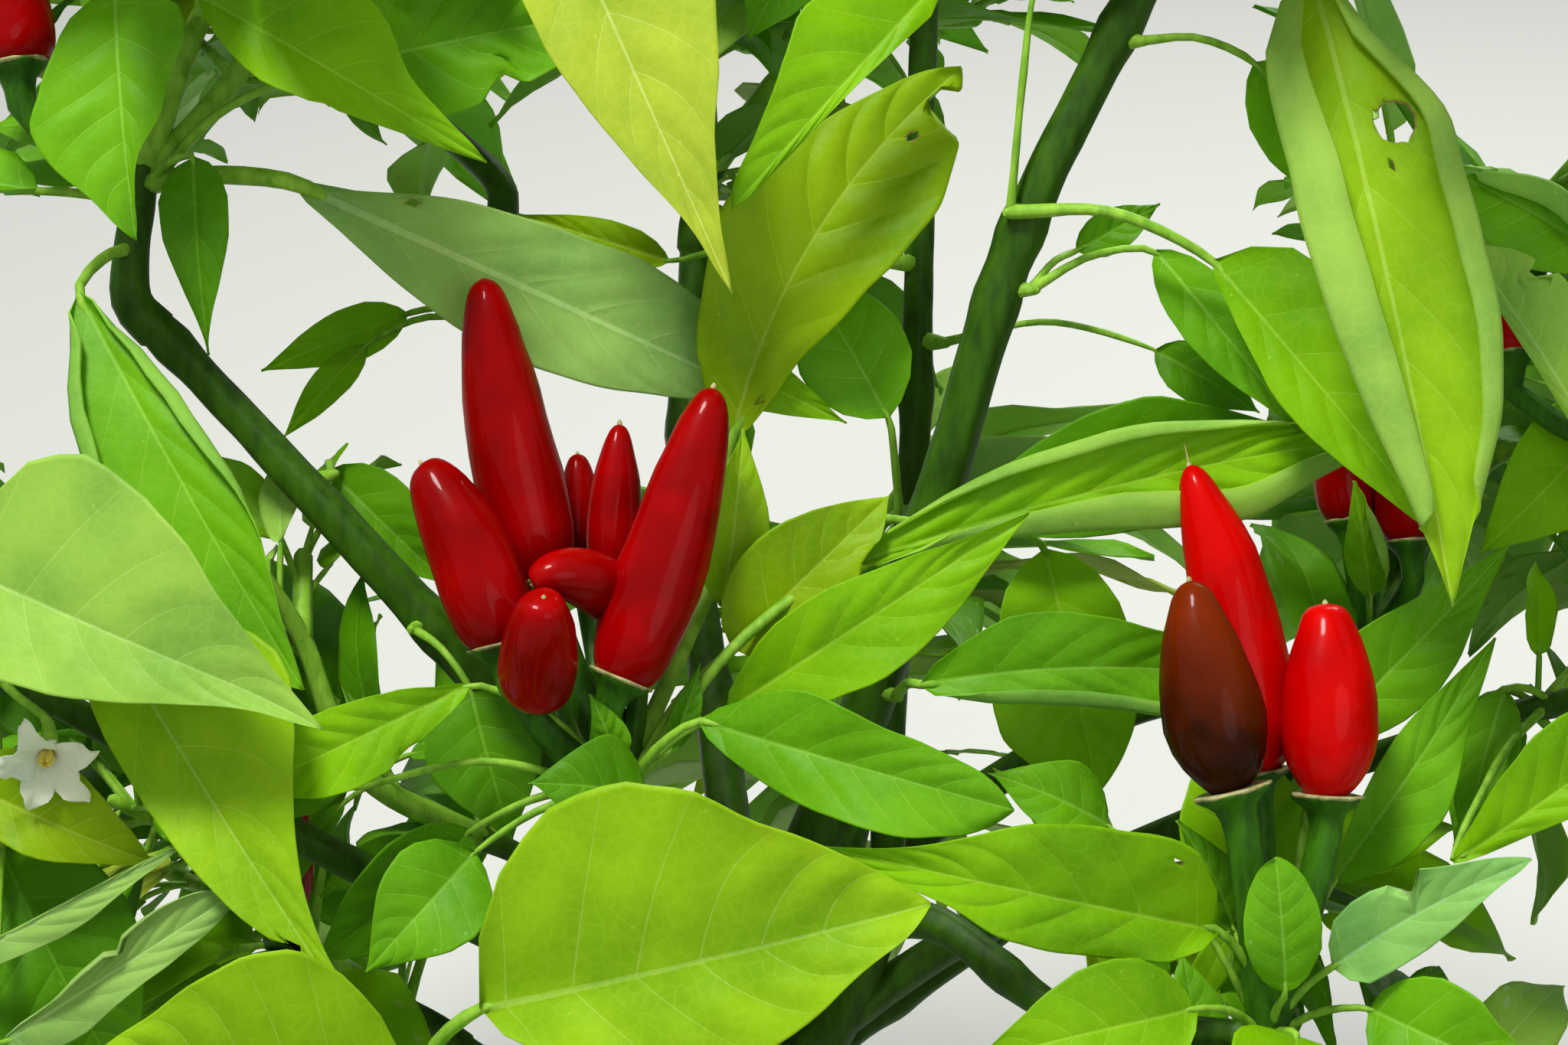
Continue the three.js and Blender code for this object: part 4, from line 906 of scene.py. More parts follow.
# A stalk bends up from its node and widens to a shallow cup with a dry, wrinkled rim. Each ring is
# told by how far it lies past the neck or the end, in millimetres, and by its share of the radius.
STALK_SHARE = 0.165
NECK = 7
BEND = 2
STALK_STEPS = 12
CUP_FROM_NECK = [(0, 1.0), (3, 1.04), (4.8, 1.2), (6, 1.55), (6.8, 1.9)]
CUP_FROM_END = [(0.5, 2.08), (0.9, 2.1), (1.0, 1.8)]
DRY_CUP_RIM = [(0.5, 2.05), (0.8, 2.22), (1.2, 2.24), (1.3, 2.1)]


def rings(start, way, radius, places):
    return [(start + past * way, share * radius) for past, share in places]


def add_stalk(shoot, node, foot, way, width):
    slim, end = STALK_SHARE * width, foot - JOINT_GAP * way
    neck = end - NECK * way
    path = Path([node, node.lerp(neck, 0.5) - BEND * way, neck, end])
    marks = []
    for i in range(8):
        marks.append((path.at(i / STALK_STEPS), slim * (1.1 - 0.1 * min(1, i / 6))))
    marks += rings(neck, way, slim, CUP_FROM_NECK) + rings(end, way, slim, CUP_FROM_END)
    shoot.stalks.append(marks)
    shoot.rims.append(rings(end, way, slim, DRY_CUP_RIM))


def show_fruit(name, shoot, node, foot, tip, width, bow=(0, 0, 0), skin="deep", slot="red_fruit",
               blunt=1.0, taper=0.1, style=0):
    foot, tip, bow = seen(*foot), seen(*tip), Vector(bow)
    add_stalk(shoot, shoot.node(node), foot, (bent(foot, tip, bow, 0.01) - foot).normalized(), width)
    marks = fruit_marks(foot, tip, bow, width, blunt, taper)
    piece = tubes(name + "_skin", [marks], fruit_skins[skin], sides=36, ridges=3, ridge_depth=0.015,
                  lump_size=13, lump_depth=0.1 * width)
    hand_over(piece, slot, name)
    occupy([bent(foot, tip, bow, i / 8) for i in range(9)], width / 2, name)
    way = (tip - foot).normalized()
    shoot.rims.append(rings(tip, way, 1, [(-0.3, 0.5), (0.35, 0.4), (0.6, 0.15), (0.7 + style, 0.1)]))


# Left cluster and the leaves round it
# Seven ripe chillies stand on one node of the front left shoot, with leaves of many sizes round
# them. Every leaf and fruit is fixed to the shoot, or to the riser above it, by its own stalk.
front_left = add_mass("mass_front_left", "front_left", [seen(-30, -48, -4)],
                      [(-30, 24, 245), (85, 72, 75)], 11)
left_node = front_left.root
riser = seen(-12, -8, -21)
add_twig(front_left, left_node, riser)
show_leaf(front_left, left_node, (-60, -31, 6), (-102, -51, 4), 17,
          sides=((2, 5, 6.5, 7.5, 7.5, 5, 2.5), (3, 5.5, 8, 8.5, 8, 5, 2.5)), bites=[(1, 0.36, 2.5, 1.2)])
show_leaf(front_left, left_node, (-16, -38, 6), (44, -55, 20), 22, tint="mid", wave=1.4,
          sides=((4.5, 8, 10, 10.5, 10.5, 8, 4), (5.5, 10.6, 11, 9, 7.6, 5.9, 3)))
show_leaf(front_left, left_node, (-11, -36, 0), (47, 2, 8), 21, wave=1.2, droop=-3,
          sides=((5.5, 9, 11, 10.6, 8, 4, 1.2), (5, 9, 9.3, 7.5, 5, 2.3, 0.9)))
show_leaf(front_left, left_node, (-10, -24, -8), (20, 5, -10), 24, 0, 3, tint="olive", powers=(0.6, 1),
          bites=[(-1, 0.7, 4, 2.5)])
show_leaf(front_left, riser, (-10, 16, -18), (34, 87, -22), 36, tint="olive", wave=1.6, bend=7, quilt=0.8,
          sides=((5, 9, 14, 17, 17, 11, 4), (10.5, 15, 18, 17, 13, 8, 4)),
          bites=[(-1, 0.9, 3.4, 9)], holes=[(0.1, -3.7, 1.2), (0.8, -3.5, 1.2)])
show_leaf(front_left, riser, (-12, -16, -14), (-8, 18, -13), 15, 20, 2, tint="bright")
show_leaf(front_left, left_node, (13, -8, -10), (118, 17, -18), 22, 0, 4, 6, bend=3, ribs=7, quilt=0.9,
          flap=(7, 2), flap_span=(0, 0.92),
          sides=((1.5, 3.5, 6.5, 10, 11, 5.5, 2), (4, 8, 10, 10, 7.5, 4, 1.5)))
show_leaf(front_left, left_node, (-26, -53, 8), (-49, -50, 16), 20, 25, 3, tint="dark")
show_leaf(front_left, left_node, (-32, -46, 5), (-37, -33, 10), 8, 20, 1, tint="mid")
show_leaf(front_left, left_node, (-59, -63, 2), (-80, -86, 10), 22, 0, 3, tint="mid")
show_leaf(front_left, left_node, (-60, -59, -6), (-90, -84, -4), 22, -20, 3, tint="dark")
show_leaf(front_left, left_node, (-84, -51, -2), (-114, -42, -8), 20, 10, 3, tint="dark")
show_leaf(front_left, left_node, (-22, -44, 0), (-16, -27, -1), 6, 20, 1, tint="dark")
show_leaf(front_left, riser, (-20, 34, -27), (12, 19, -23), 12, 0, 3)
show_leaf(front_left, riser, (30, 0, -26), (106, 17, -32), 26, tint="dark", wave=1.5,
          sides=((4, 8, 10, 10, 8, 4, 2), (5, 11, 15, 15.5, 11, 5, 2)))
show_fruit("fruit_left_1", front_left, left_node, (-46, -11, -10), (-57.5, 46.5, -8), 17.8, (-2, 0, 0))
show_fruit("fruit_left_2", front_left, left_node, (-31.5, -30.5, 4), (-13.5, 26, 2), 17.5, (2, 0, -1))
show_fruit("fruit_left_3", front_left, left_node, (-54, -24, 4), (-69.5, 11.5, 2), 17.5, (3.5, 0, 1),
           blunt=1.2)
show_fruit("fruit_left_4", front_left, left_node, (-33, -10, -14), (-31.5, 19, -14), 11, blunt=0.95)
show_fruit("fruit_left_5", front_left, left_node, (-31, -16, -3), (-48, -12, 12), 12, (0, -4, 10),
           blunt=1.5)
show_fruit("fruit_left_6", front_left, left_node, (-47.5, -33, 6), (-46, -14.5, 24), 15, blunt=1.5)
show_fruit("fruit_left_7", front_left, left_node, (-39, -6, -24), (-39.5, 13, -25), 9)

# Right cluster and the leaves round it
# Two ripe chillies and a brown one that is still turning stand on the front right shoot. Its leaves
# spread to all sides of them on stalks of their own.
front_right = add_mass("mass_front_right", "front_right", [seen(96, -94, -2)],
                       [(125, 0, 195), (90, 80, 75)], 12)
right_node = front_right.root
show_leaf(front_right, right_node, (83, -78, 6), (7, -62, 28), 28, wave=1.3,
          sides=((13, 16, 15, 12.5, 7, 2.8, 0.9), (7, 9, 10, 9.3, 5.5, 3, 1.3)), holes=[(0.16, -12, 0.9)])
show_leaf(front_right, right_node, (103, -41, -25), (139, -4, -20), 20, tint="mid",
          sides=((6, 9, 9.5, 8, 5, 2.5, 1), (6, 10, 10.5, 8, 5, 2.5, 1)))
show_leaf(front_right, right_node, (105, -69, -14), (136, -22, -10), 16, tint="mid", wave=1.2,
          sides=((5.5, 9, 10, 8, 5, 2.7, 1), (2.5, 5, 6, 6.2, 4.8, 2.7, 1)))
show_leaf(front_right, right_node, (105, -85, 4), (143, -64.5, 14), 15, tint="blue", bend=2,
          sides=((6, 7, 7, 6, 4, 2, 1), (7, 8.5, 8.5, 8, 5.5, 3.5, 1.5)), bites=[(1, 0.47, 1.8, 6)])
show_leaf(front_right, right_node, (96, -90, 10), (94, -64, 14), 15, 0, 2, tint="mid", powers=(0.6, 0.6))
show_leaf(front_right, right_node, (86, -78, -6), (75, -57, -4), 12, 30, 2, tint="dark")
show_leaf(front_right, right_node, (91, -72, -24), (82, -38, -27), 27, 0)
show_leaf(front_right, right_node, (62, -58, -16), (39, -48, -12), 16, 20, 3, tint="mid")
show_leaf(front_right, right_node, (79, -93, 12), (36, -103, 20), 25, 10)
show_leaf(front_right, right_node, (79, -108, -14), (76, -82, -16), 15, 20, 2, tint="mid")
show_leaf(front_right, right_node, (98, -98, 8), (92, -124, 30), 27, 0, powers=(0.6, 0.9))
show_leaf(front_right, right_node, (112, -93, 4), (146, -108, 20), 21, tint="mid",
          sides=((7, 10, 11, 10, 7, 4, 2), (7, 10.8, 11.4, 10.5, 7.5, 4.5, 2)))
show_fruit("fruit_right_1", front_right, right_node, (90, -48, -8), (77.5, 11, -7), 18.5, (4, 0, 3),
           "bright", blunt=0.82, style=3.5)
show_fruit("fruit_right_2", front_right, right_node, (86, -52, 8), (77.5, -11, 8), 20.5, (-1, 0, 0),
           "turning", "brown_fruit", blunt=0.86, taper=0.5)
show_fruit("fruit_right_3", front_right, right_node, (104, -53, 1), (103.5, -15.5, 1), 19, (1, 0, 0),
           "bright", blunt=1.3, taper=0.5)

# Low front
# One broad pale leaf with raised veins lies almost flat across the front, and another points left
# beside it. Their stout stalks come up from the low front shoot.
low_front = add_mass("mass_low_front", "low_front", [seen(-60, -114, 2)],
                     [(-40, -75, 175), (110, 75, 75)], 13)
show_leaf(low_front, low_front.root, (-58, -93, 26), (28, -73, 30), 52, 0, 6, tint="bright", raised=True,
          midrib=0.7, vein=0.18, quilt=0.9, wave=1.8, rough=1.0, stalk=1.3, by=(-68, -103, 16),
          sides=((9, 17, 21, 20, 15, 8, 4), (22, 34, 36, 32, 23, 13, 5)))
show_leaf(low_front, low_front.root, (-72, -110, 14), (-134, -104, 24), 40, tint="bright", quilt=0.8,
          sides=((14, 23, 27, 25, 19, 10, 4), (8, 14, 16, 15, 12, 7, 3)))

# Left, past the cluster
# A broad pale leaf hangs to the right from the outer left shoot, over a long one. Narrow leaves
# beside them, two seen from below, hang on a side twig under the shoot's end.
outer_left = add_mass("mass_outer_left", "outer_left", [seen(-152, -30, -6)],
                      [(-180, -10, 275), (90, 100, 105)], 14)
outer_left_low = seen(-150, -62, -8)
add_twig(outer_left, outer_left.root, outer_left_low)
show_leaf(outer_left, outer_left.root, (-159, -8, 16), (-88, -38, 32), 42, 0, 5, tint="pale", quilt=0.4,
          hook=-1.5, sides=((12, 16, 14.5, 11, 6.5, 2.8, 1.2), (22, 29.5, 27, 22, 14, 6, 2)))
show_leaf(outer_left, outer_left.root, (-132, -16, 0), (-82, -95, 20), 36, 0, 5, tint="bright",
          sides=((8, 11, 11, 10, 7.5, 2.8, 1.2), (12, 24, 26, 16, 7, 2.6, 1.5)), bites=[(-1, 0.82, 1.8, 2)])
show_leaf(outer_left, outer_left_low, (-156, -50, 0), (-121, -65, 2), 18, tint="olive",
          sides=((5, 7, 7.5, 7, 5, 3, 1.3), (9, 12, 12.5, 11, 8, 5, 2)))
show_leaf(outer_left, outer_left_low, (-158, -84, 2), (-115, -62, 10), 6, tint="under",
          sides=((3.5, 4.4, 4.9, 4.6, 3, 1.5, 0.6), (0.8, 0.8, 0.8, 0.9, 1, 1, 0.6)))
show_leaf(outer_left, outer_left_low, (-150, -100, 6), (-105, -71, 14), 11, tint="under", flap=(0, 1.5),
          sides=((5, 6.8, 6.4, 5.2, 4.6, 3.5, 2), (0.8, 1.2, 3, 4.2, 5.6, 4.8, 2.5)),
          bites=[(1, 0.57, 1.2, 1.4)])
show_leaf(outer_left, outer_left_low, (-150, -62, -12), (-126, -108, -10), 38, 0, tint="dark",
          powers=(0.6, 0.9), holes=[(0.62, -2, 1.8)])

# Flower
# One nodding white flower with pointed petals, joined at their base, round a cone of anthers. It
# hangs on a short green stalk that bends down from the outer left shoot.
FLOWER_RADIUS = 10
FLOWER_MIDDLE = 5
PETALS = 5
PETAL_LENGTH = 1.2 * FLOWER_RADIUS
PETAL_WIDTH = 7.4
PETAL_TURN = 0.2
PETAL_CUPPING = 0.3
PETAL_HANG = 0.25
PETAL_PLACE = (1.2, 0.4)
ANTHER_PLACE = (1.5, 0.8)
ANTHER = [(0, 0.35), (1.2, 0.75), (3.2, 0.7), (4, 0.3)]
flower_foot = seen(-140.5, -43, 8)
flower_way = (-0.55 * LIFT - 0.9 * LOOK).normalized()
outer_left.stem([seen(-151, -29, -4), seen(-147, -33, 0), seen(-141, -38, 4),
                 flower_foot - JOINT_GAP * flower_way], [1, 0.9, 0.9, 1.9])
occupy([flower_foot + FLOWER_MIDDLE * flower_way], FLOWER_RADIUS, "flower_left")
# Petal: soft, matt and a little see-through, creamy white with a faint net of veinlets.
petal_skin = leaf_skin("cream_petal", "#F4F4DE", "#FAFCE8", share=0.4, roughness=0.6)
anther_skin = stem_skin("yellow_anther", "#B9A63A", "#E2D56A")
side = flower_way.cross(Vector((1, 0, 0))).normalized()
rise = flower_way.cross(side)
points, faces = [], []
for k in range(PETALS):
    turn = 2 * math.pi * k / PETALS + PETAL_TURN
    out = math.cos(turn) * side + math.sin(turn) * rise
    way = (out + PETAL_CUPPING * flower_way - PETAL_HANG * LIFT).normalized()
    start = flower_foot + PETAL_PLACE[0] * flower_way + PETAL_PLACE[1] * out
    blade, quads, _ = leaf_form(PETAL_LENGTH, PETAL_WIDTH, arch=1.6, fold=8, ribs=2, fill=4, thick=0.3,
                                midrib=0.3, vein=0.08, quilt=0.3, wave=1.0, waves=1.8, phase=0.3 * k,
                                ruffle=0.3, powers=(0.42, 0.8))
    turned = leaf_frame(start, start + way, flower_way)
    faces += [tuple(len(points) + c for c in quad) for quad in quads]
    points += [start + turned @ p for p in blade]
petals = place_mesh("flower_petals", points, faces, [petal_skin])
hand_over(petals, "petal", "flower_left")
cone = []
for k in range(PETALS):
    turn = 2 * math.pi * (k + 0.5) / PETALS
    out = math.cos(turn) * side + math.sin(turn) * rise
    foot = flower_foot + ANTHER_PLACE[0] * flower_way + ANTHER_PLACE[1] * out
    cone.append(rings(foot, flower_way, 1, ANTHER))
anthers = tubes("flower_anthers", cone, anther_skin, sides=8, ridges=2, ridge_depth=0.1, lump_depth=0)
hand_over(anthers, "petal", "flower_left")

# Upper left, above the end of its bough
# A long leaf seen from below reaches in over the left cluster, others hang from a side twig, and
# one fruit stands at the photo's corner. Their stalks leave the left shoot.
left_top = add_mass("mass_left_top", "left", [seen(-125, 50, -27), seen(-122, 68, -26)],
                    [(-150, 40, 400), (105, 105, 110)], 15)
left_hang = seen(-125, 112, -20)
add_twig(left_top, left_top.root, left_hang)
show_leaf(left_top, left_top.path.at(0.5), (-135, 44, -8), (-92, -32, 8), 24, 0, 5, 4, tint="mid",
          flap=(3, 2), flap_span=(0, 0.7), bites=[(1, 0.27, 1.2, 1)],
          sides=((5, 12, 15, 17, 16, 10, 4), (2.5, 7, 8, 9, 7.5, 3.5, 1.3)))
show_leaf(left_top, left_top.root, (-94, 65, -16), (-6, 25, -24), 25, 0, 4, 3, tint="under", raised=True,
          midrib=0.9, quilt=0.4, stalk=1.75, rise=0.05, holes=[(0.23, 6, 1.3)],
          sides=((4, 9, 12.5, 13.4, 12, 8, 3.5), (3, 8.5, 12, 13.7, 14.2, 12, 6)))
show_leaf(left_top, left_top.root, (-113, 70, -16), (-110, 32, -14), 14, 0, tint="dark", powers=(0.6, 1.5))
show_leaf(left_top, left_top.root, (-92.5, 85.5, -22), (-32, 98, -26), 26, tint="mid", quilt=0.9,
          sides=((8, 13, 14.5, 14, 11.5, 8, 4), (8, 13, 14, 14, 12, 8, 4)), bites=[(-1, 0.6, 3.5, 4)])
show_leaf(left_top, left_hang, (-112, 101, -2), (-57, 69, 8), 24, 0, 5,
          sides=((4.5, 7.8, 8.3, 6.6, 4.5, 2.4, 0.9), (10, 15, 16.5, 14, 6.8, 3.3, 1.4)),
          bites=[(-1, 0.52, 1.6, 0.8)])
show_leaf(left_top, left_hang, (-128, 102, -4), (-124, 54, 4), 25, tint="mid",
          sides=((8, 12, 15, 17, 14, 7, 3), (12, 14, 10, 7.5, 2.5, 1, 0.7)))
show_fruit("fruit_left_top", left_top, left_top.root, (-147, 87, -18), (-151, 112, -20), 18)

# Top, above the middle and right boughs
# Leaves hang down from a side twig of the middle shoot. On the right shoot hangs a long one whose
# margins have folded over, with holes near its base.
middle_top = add_mass("mass_middle_top", "middle", [seen(25, 140, -38)],
                      [(-5, 70, 480), (110, 105, 95)], 16)
middle_hang = seen(2, 138, -12)
add_twig(middle_top, middle_top.root, middle_hang)
show_leaf(middle_top, middle_hang, (-46, 125, 6), (-10, 44, 12), 32, 0, 6, tint="yellow",
          sides=((9, 14, 13.5, 10.5, 6.5, 2.2, 0.9), (12, 19, 20, 15.5, 9, 3.7, 1.3)))
show_leaf(middle_top, middle_hang, (30, 104, -2), (-10, 60, 6), 17, 0, 4, bites=[(1, 0.99, 1.5, 1)],
          sides=((10, 14, 15.5, 11.6, 7.9, 4.9, 2.6), (3.5, 3, 2.5, 2, 1.7, 1.4, 1.2)))
show_leaf(middle_top, middle_hang, (5, 114, -16), (-7, 92, -16), 16, 0, 2, tint="mid")
right_top = add_mass("mass_right_top", "right", [seen(92, 140, -8)],
                     [(125, 50, 460), (105, 105, 105)], 17)
show_leaf(right_top, right_top.root, (101, 105, 8), (128, -16, 24), 30, 0, 8, 6, tint="bright",
          flap=(9, 4.5), flap_span=(0, 0.88), holes=[(0.265, 8, 4.2), (0.335, 5.8, 1.1)], midrib=0.6,
          sides=((11.4, 13.6, 13.4, 11.7, 8.5, 4.2, 1.2), (5.6, 16.4, 17.6, 17.8, 16, 8.3, 2.8)))

# Right, past the cluster
# Small leaves at the photo's edge, one with a folded margin, hang on the outer right shoot and on
# the side twig above it, with one bright red fruit.
outer_right = add_mass("mass_outer_right", "outer_right", [seen(150, -34, -30)],
                       [(180, 5, 270), (90, 100, 105)], 18)
outer_right_high = seen(170, 10, -26)
add_twig(outer_right, outer_right.root, outer_right_high)
show_leaf(outer_right, outer_right.root, (138, -32, -22), (130, -63, -20), 13, 20, tint="mid")
show_leaf(outer_right, outer_right.root, (128, -65, 2), (168, -36, 4), 20, 0,
          sides=((2, 3.5, 5, 6, 6, 4, 2), (3, 7, 10, 12, 11, 7, 3)))
show_leaf(outer_right, outer_right_high, (158, 50, -18), (130, 66, -16), 17, tint="mid", flap=(5, 0),
          sides=((2, 4, 6, 7, 6, 4, 2), (4, 8, 10, 11, 10, 7, 3)))
show_leaf(outer_right, outer_right_high, (156, 14, -10), (130, 54, -10), 14, tint="pale", wave=1.5,
          sides=((6, 9, 11, 11.5, 11, 7, 2), (2, 2.3, 2.4, 2.8, 2.6, 1.5, 0.6)), bites=[(-1, 0.74, 1.7, 4)])
show_leaf(outer_right, outer_right_high, (160, 22, -34), (133, -6, -34), 24, 0, 4)
show_leaf(outer_right, outer_right.root, (137, -32, -30), (128, -62, -28), 16, 0, 3, tint="mid")
show_fruit("fruit_outer_right", outer_right, outer_right_high, (139, 32, -28), (138, 52, -30), 14,
           skin="bright")

# Back right, with its own cluster
# Three small ripe chillies and a curled leaf stand on a node deeper in the crown, where the back
# right shoot passes it on its way up.
back_right_node = seen(112, -22, -66)
back_right = add_mass("mass_back_right", "back_right", [back_right_node, Vector((148, 68, 272))],
                      [(140, 105, 300), (105, 95, 110)], 19)
show_leaf(back_right, back_right_node, (112, -14, -54), (109, 8, -48), 9, 0, 2, flap=(2, 0))
show_fruit("fruit_back_right_1", back_right, back_right_node, (108, 0, -62), (105, 24, -64), 13)
show_fruit("fruit_back_right_2", back_right, back_right_node, (115, -1, -74), (113, 20, -76), 12)
show_fruit("fruit_back_right_3", back_right, back_right_node, (120, -4, -58), (118, 22, -60), 14)

# Back and low masses
# The rest of the crown grows round the sides the photo doesn't show. Each of these shoots has no
# leaf of its own placed one by one, only those that grow on its twigs.
for name, route, middle, half, seed in [
        ("back", (-8, 108, 330), (10, 130, 365), (100, 95, 115), 20),
        ("back_left", (-74, 116, 342), (-110, 120, 325), (105, 95, 120), 21),
        ("low_back", (28, 92, 192), (20, 115, 210), (120, 90, 100), 22),
        ("low_left", (-80, 26, 172), (-115, 40, 190), (105, 100, 95), 23),
        ("low_right", (78, -40, 172), (115, -45, 170), (110, 90, 80), 24),
        ("inner_left", (-58, 14, 216), (-62, 25, 225), (95, 75, 85), 25),
        ("inner_right", (70, 16, 200), (75, 30, 215), (95, 75, 90), 26)]:
    add_mass("mass_" + name, name, [Vector(route)], [middle, half], seed)

# Sprays on the boughs
# A spray is one or two soft leaves on a short green shoot, which grows straight from a bud on a
# bough. Each has its bough, its bud's height, its reach and its leaves.
for name, bough, height, reach, leaves in [
        ("left", "left", 266, (-3, -6, 1),
         [((-60, -32, -14), (-52, -61, -12), 24, "dark", {"arch": 3})]),
        ("right_low", "right", 282, (4, -7, 1),
         [((50, -5, -34), (60, -52, -37), 30, "lime",
           {"sides": ((9, 13, 16, 17.5, 16.5, 11, 4), (8, 12, 13, 13, 11, 7, 3))})]),
        ("right_mid", "right", 330, (7, -3, 1),
         [((71, 52, -18), (99, 17, -14), 14, "mid", {"arch": 3}),
          ((56, 52, -24), (72, 61, -26), 9, "dark", {"arch": 1})]),
        ("right", "right", 344, (-5, -6, 1),
         [((82, 50, -4), (126, -3, 6), 25, "lime",
           {"sides": ((3, 6, 8.2, 8, 6, 3.5, 1.5), (12, 17, 18, 16, 12, 7, 3)), "stalk": 1.2,
            "bites": [(1, 0.16, 2, 3.5)]}),
          ((48, 102, -8), (64, 128, -2), 20, "yellow", {"arch": 3})]),
        ("right_high", "right", 376, (6, -4, 1),
         [((90, 88, -4), (112, 58, -10), 20, "mid", {"arch": 3})]),
        ("middle_high", "middle", 312, (6, -4, 1),
         [((71, 33, -34), (91, 21, -34), 12, "dark", {"arch": 3})]),
        ("middle", "middle", 280, (-3, -7, 1),
         [((20, 20, -28), (3, 50, -34), 23, "mid", {"arch": 3})]),
        ("middle_mid", "middle", 327, (-6, -4, 1),
         [((-22, 50, -40), (-51, 59, -36), 9, "olive", {"arch": 2})]),
        ("left_high", "left", 292, (6, 4, 1),
         [((-87, 10, -46), (-64, -12, -46), 18, "mid", {"arch": 3})]),
        ("back_left", "back_left", 300, (-6, -5, 1),
         [((-72, 40, -84), (-100, 29, -80), 12, "lime", {"arch": 2}),
          ((-80, 34, -80), (-96, 16, -80), 8, "lime", {"arch": 2})]),
        ("right_foot", "right", 248, (5, -7, 1),
         [((26, -31, -20), (90, -30, -25), 21, "mid",
           {"sides": ((3.5, 6, 7, 8, 9, 8, 4), (6, 11, 11.5, 10, 8, 6, 3)), "bend": 3,
            "flap": (2.5, 0)})])]:
    spray = add_spray("spray_" + name, bough, height, reach)
    for base, tip, width, tint, form in leaves:
        show_leaf(spray, spray.root, base, tip, width, tint=tint, **form)

# Twigs and leaves of each mass
# Twigs fork in two, each pair a quarter turn on from the last, with leaves at their forks and a
# whorl at their ends. Small young leaves then fill the gaps at each fork and tip.
LEAF_LENGTH = (50, 78)
LEAF_WIDTH = 0.44
WIDTH_RANGE = (0.88, 1.1)
ARCH_SHARE = 0.06
NODE_TILT = (60, 95)
END_TILT = (25, 80)
HANG = (0.2, 0.6)
FACE_LEAN = 0.6
PETIOLE_LENGTH = (12, 22)
FORK_ANGLE = (20, 44)
TWIG_LENGTH = [0, 32, 26, 20]
TWIG_RANGE = (0.85, 1.15)
TWIG_TAPER = 0.14
TWIG_SPACE = 0.8
NODE_LEAVES = 3
END_LEAVES = 5
LEAF_TRIES = 8
TWIG_TRIES = 4
LEAF_SPACING = 3.6
SPIRAL = math.radians(137.5)
PAIR_TURN = 1.9
TRY_TURN = 0.8
LEAF_GAP = 5
TWIG_GAP = 3
LOWEST_LEAF = 95
CROWN_MIDDLE = 45
FRUIT_DRAW = 6
FRUIT_LENGTH = (36, 46)
FRUIT_WIDTH = (14, 18)
FRUIT_SWING = (-1.2, 1.2)
FRUIT_OUT = 9
FRUIT_RISE = (9, 13)
FRUIT_LEAN = (2, 12)
SHOW_HALF = (154, 104)
SHOW_BACK = -22
# Gaps between the leaves of the show side that nothing behind them shuts: left, right, low, high.
WINDOWS = [(-105, -82, 50, 78), (-45, -15, 62, 82), (-93, -66, 19, 50), (-4, 20, 2, 33), (34, 45, 32, 92),
           (38, 90, 25, 78), (67, 91, 70, 104), (21, 45, -43, -32), (66, 75, -57, -35), (134, 154, 70, 104)]


# Draws come from a plain rule that the CAD source shares, so that both grow the same twigs. The
# seeds of one twig or leaf give its own run of draws.
SEED_PRIMES = (7919, 104729, 1299709, 15485863)
DRAW_FACTOR = 1664525
DRAW_SHIFT = 1013904223
DRAW_RANGE = 2 ** 32


def draws(*seeds):
    state = 1 + sum(seed * prime for seed, prime in zip(seeds, SEED_PRIMES))

    def draw(limits):
        nonlocal state
        state = (state * DRAW_FACTOR + DRAW_SHIFT) % DRAW_RANGE
        return limits[0] + (limits[1] - limits[0]) * state / DRAW_RANGE
    draw((0, 1))
    draw((0, 1))
    return draw


def in_space(p, space, share):
    middle, half = space
    away = sum(((p[i] - middle[i]) / half[i]) ** 2 for i in range(3))
    return away < share * share and p[2] > LOWEST_LEAF


def hides_show_side(p):
    away = p - SHOW_CENTRE
    near = -away.dot(LOOK)
    spread = (SHOW_DISTANCE - near) / SHOW_DISTANCE
    across, up = away.x / spread, away.dot(LIFT) / spread
    if abs(across) > SHOW_HALF[0] or abs(up) > SHOW_HALF[1]:
        return False
    return near > SHOW_BACK or any(left < across < right and low < up < high
                                   for left, right, low, high in WINDOWS)


def fits(shoot, points, share, gap, root):
    return (all(in_space(p, shoot.space, share) and not hides_show_side(p) for p in points)
            and not crowded(points, gap, shoot.name, root))


UP = Vector((0, 0, 1))


def grow_leaf(shoot, root, heading, side, turn, tilts, sizes, gap, draw, path):
    tilt = math.radians(draw(tilts))
    around = Quaternion(heading, turn) @ side
    way = math.cos(tilt) * heading + math.sin(tilt) * around
    length = draw(sizes)
    width = length * LEAF_WIDTH * draw(WIDTH_RANGE)
    reach = draw(PETIOLE_LENGTH)
    if sizes != LEAF_LENGTH:
        reach = reach * length / sizes[1]
    base = root + reach * way
    axis = (way + Vector((0, 0, -draw(HANG)))).normalized()
    tip = base + length * axis
    face = UP + FACE_LEAN * Vector((root.x, root.y - CROWN_MIDDLE, 0)).normalized()
    turned = leaf_frame(base, tip, face)
    points = spine_points(base, tip, width, turned, ARCH_SHARE * length, 0) + between(root, base)[1:]
    if not fits(shoot, points, 1, gap, root):
        return False
    occupy(points, 0, shoot.name)
    petiole(shoot, root, base, tip, 0.45 + length / 110, 0.04)
    shoot.sprigs.append((base, turned, length, width, path))
    return True


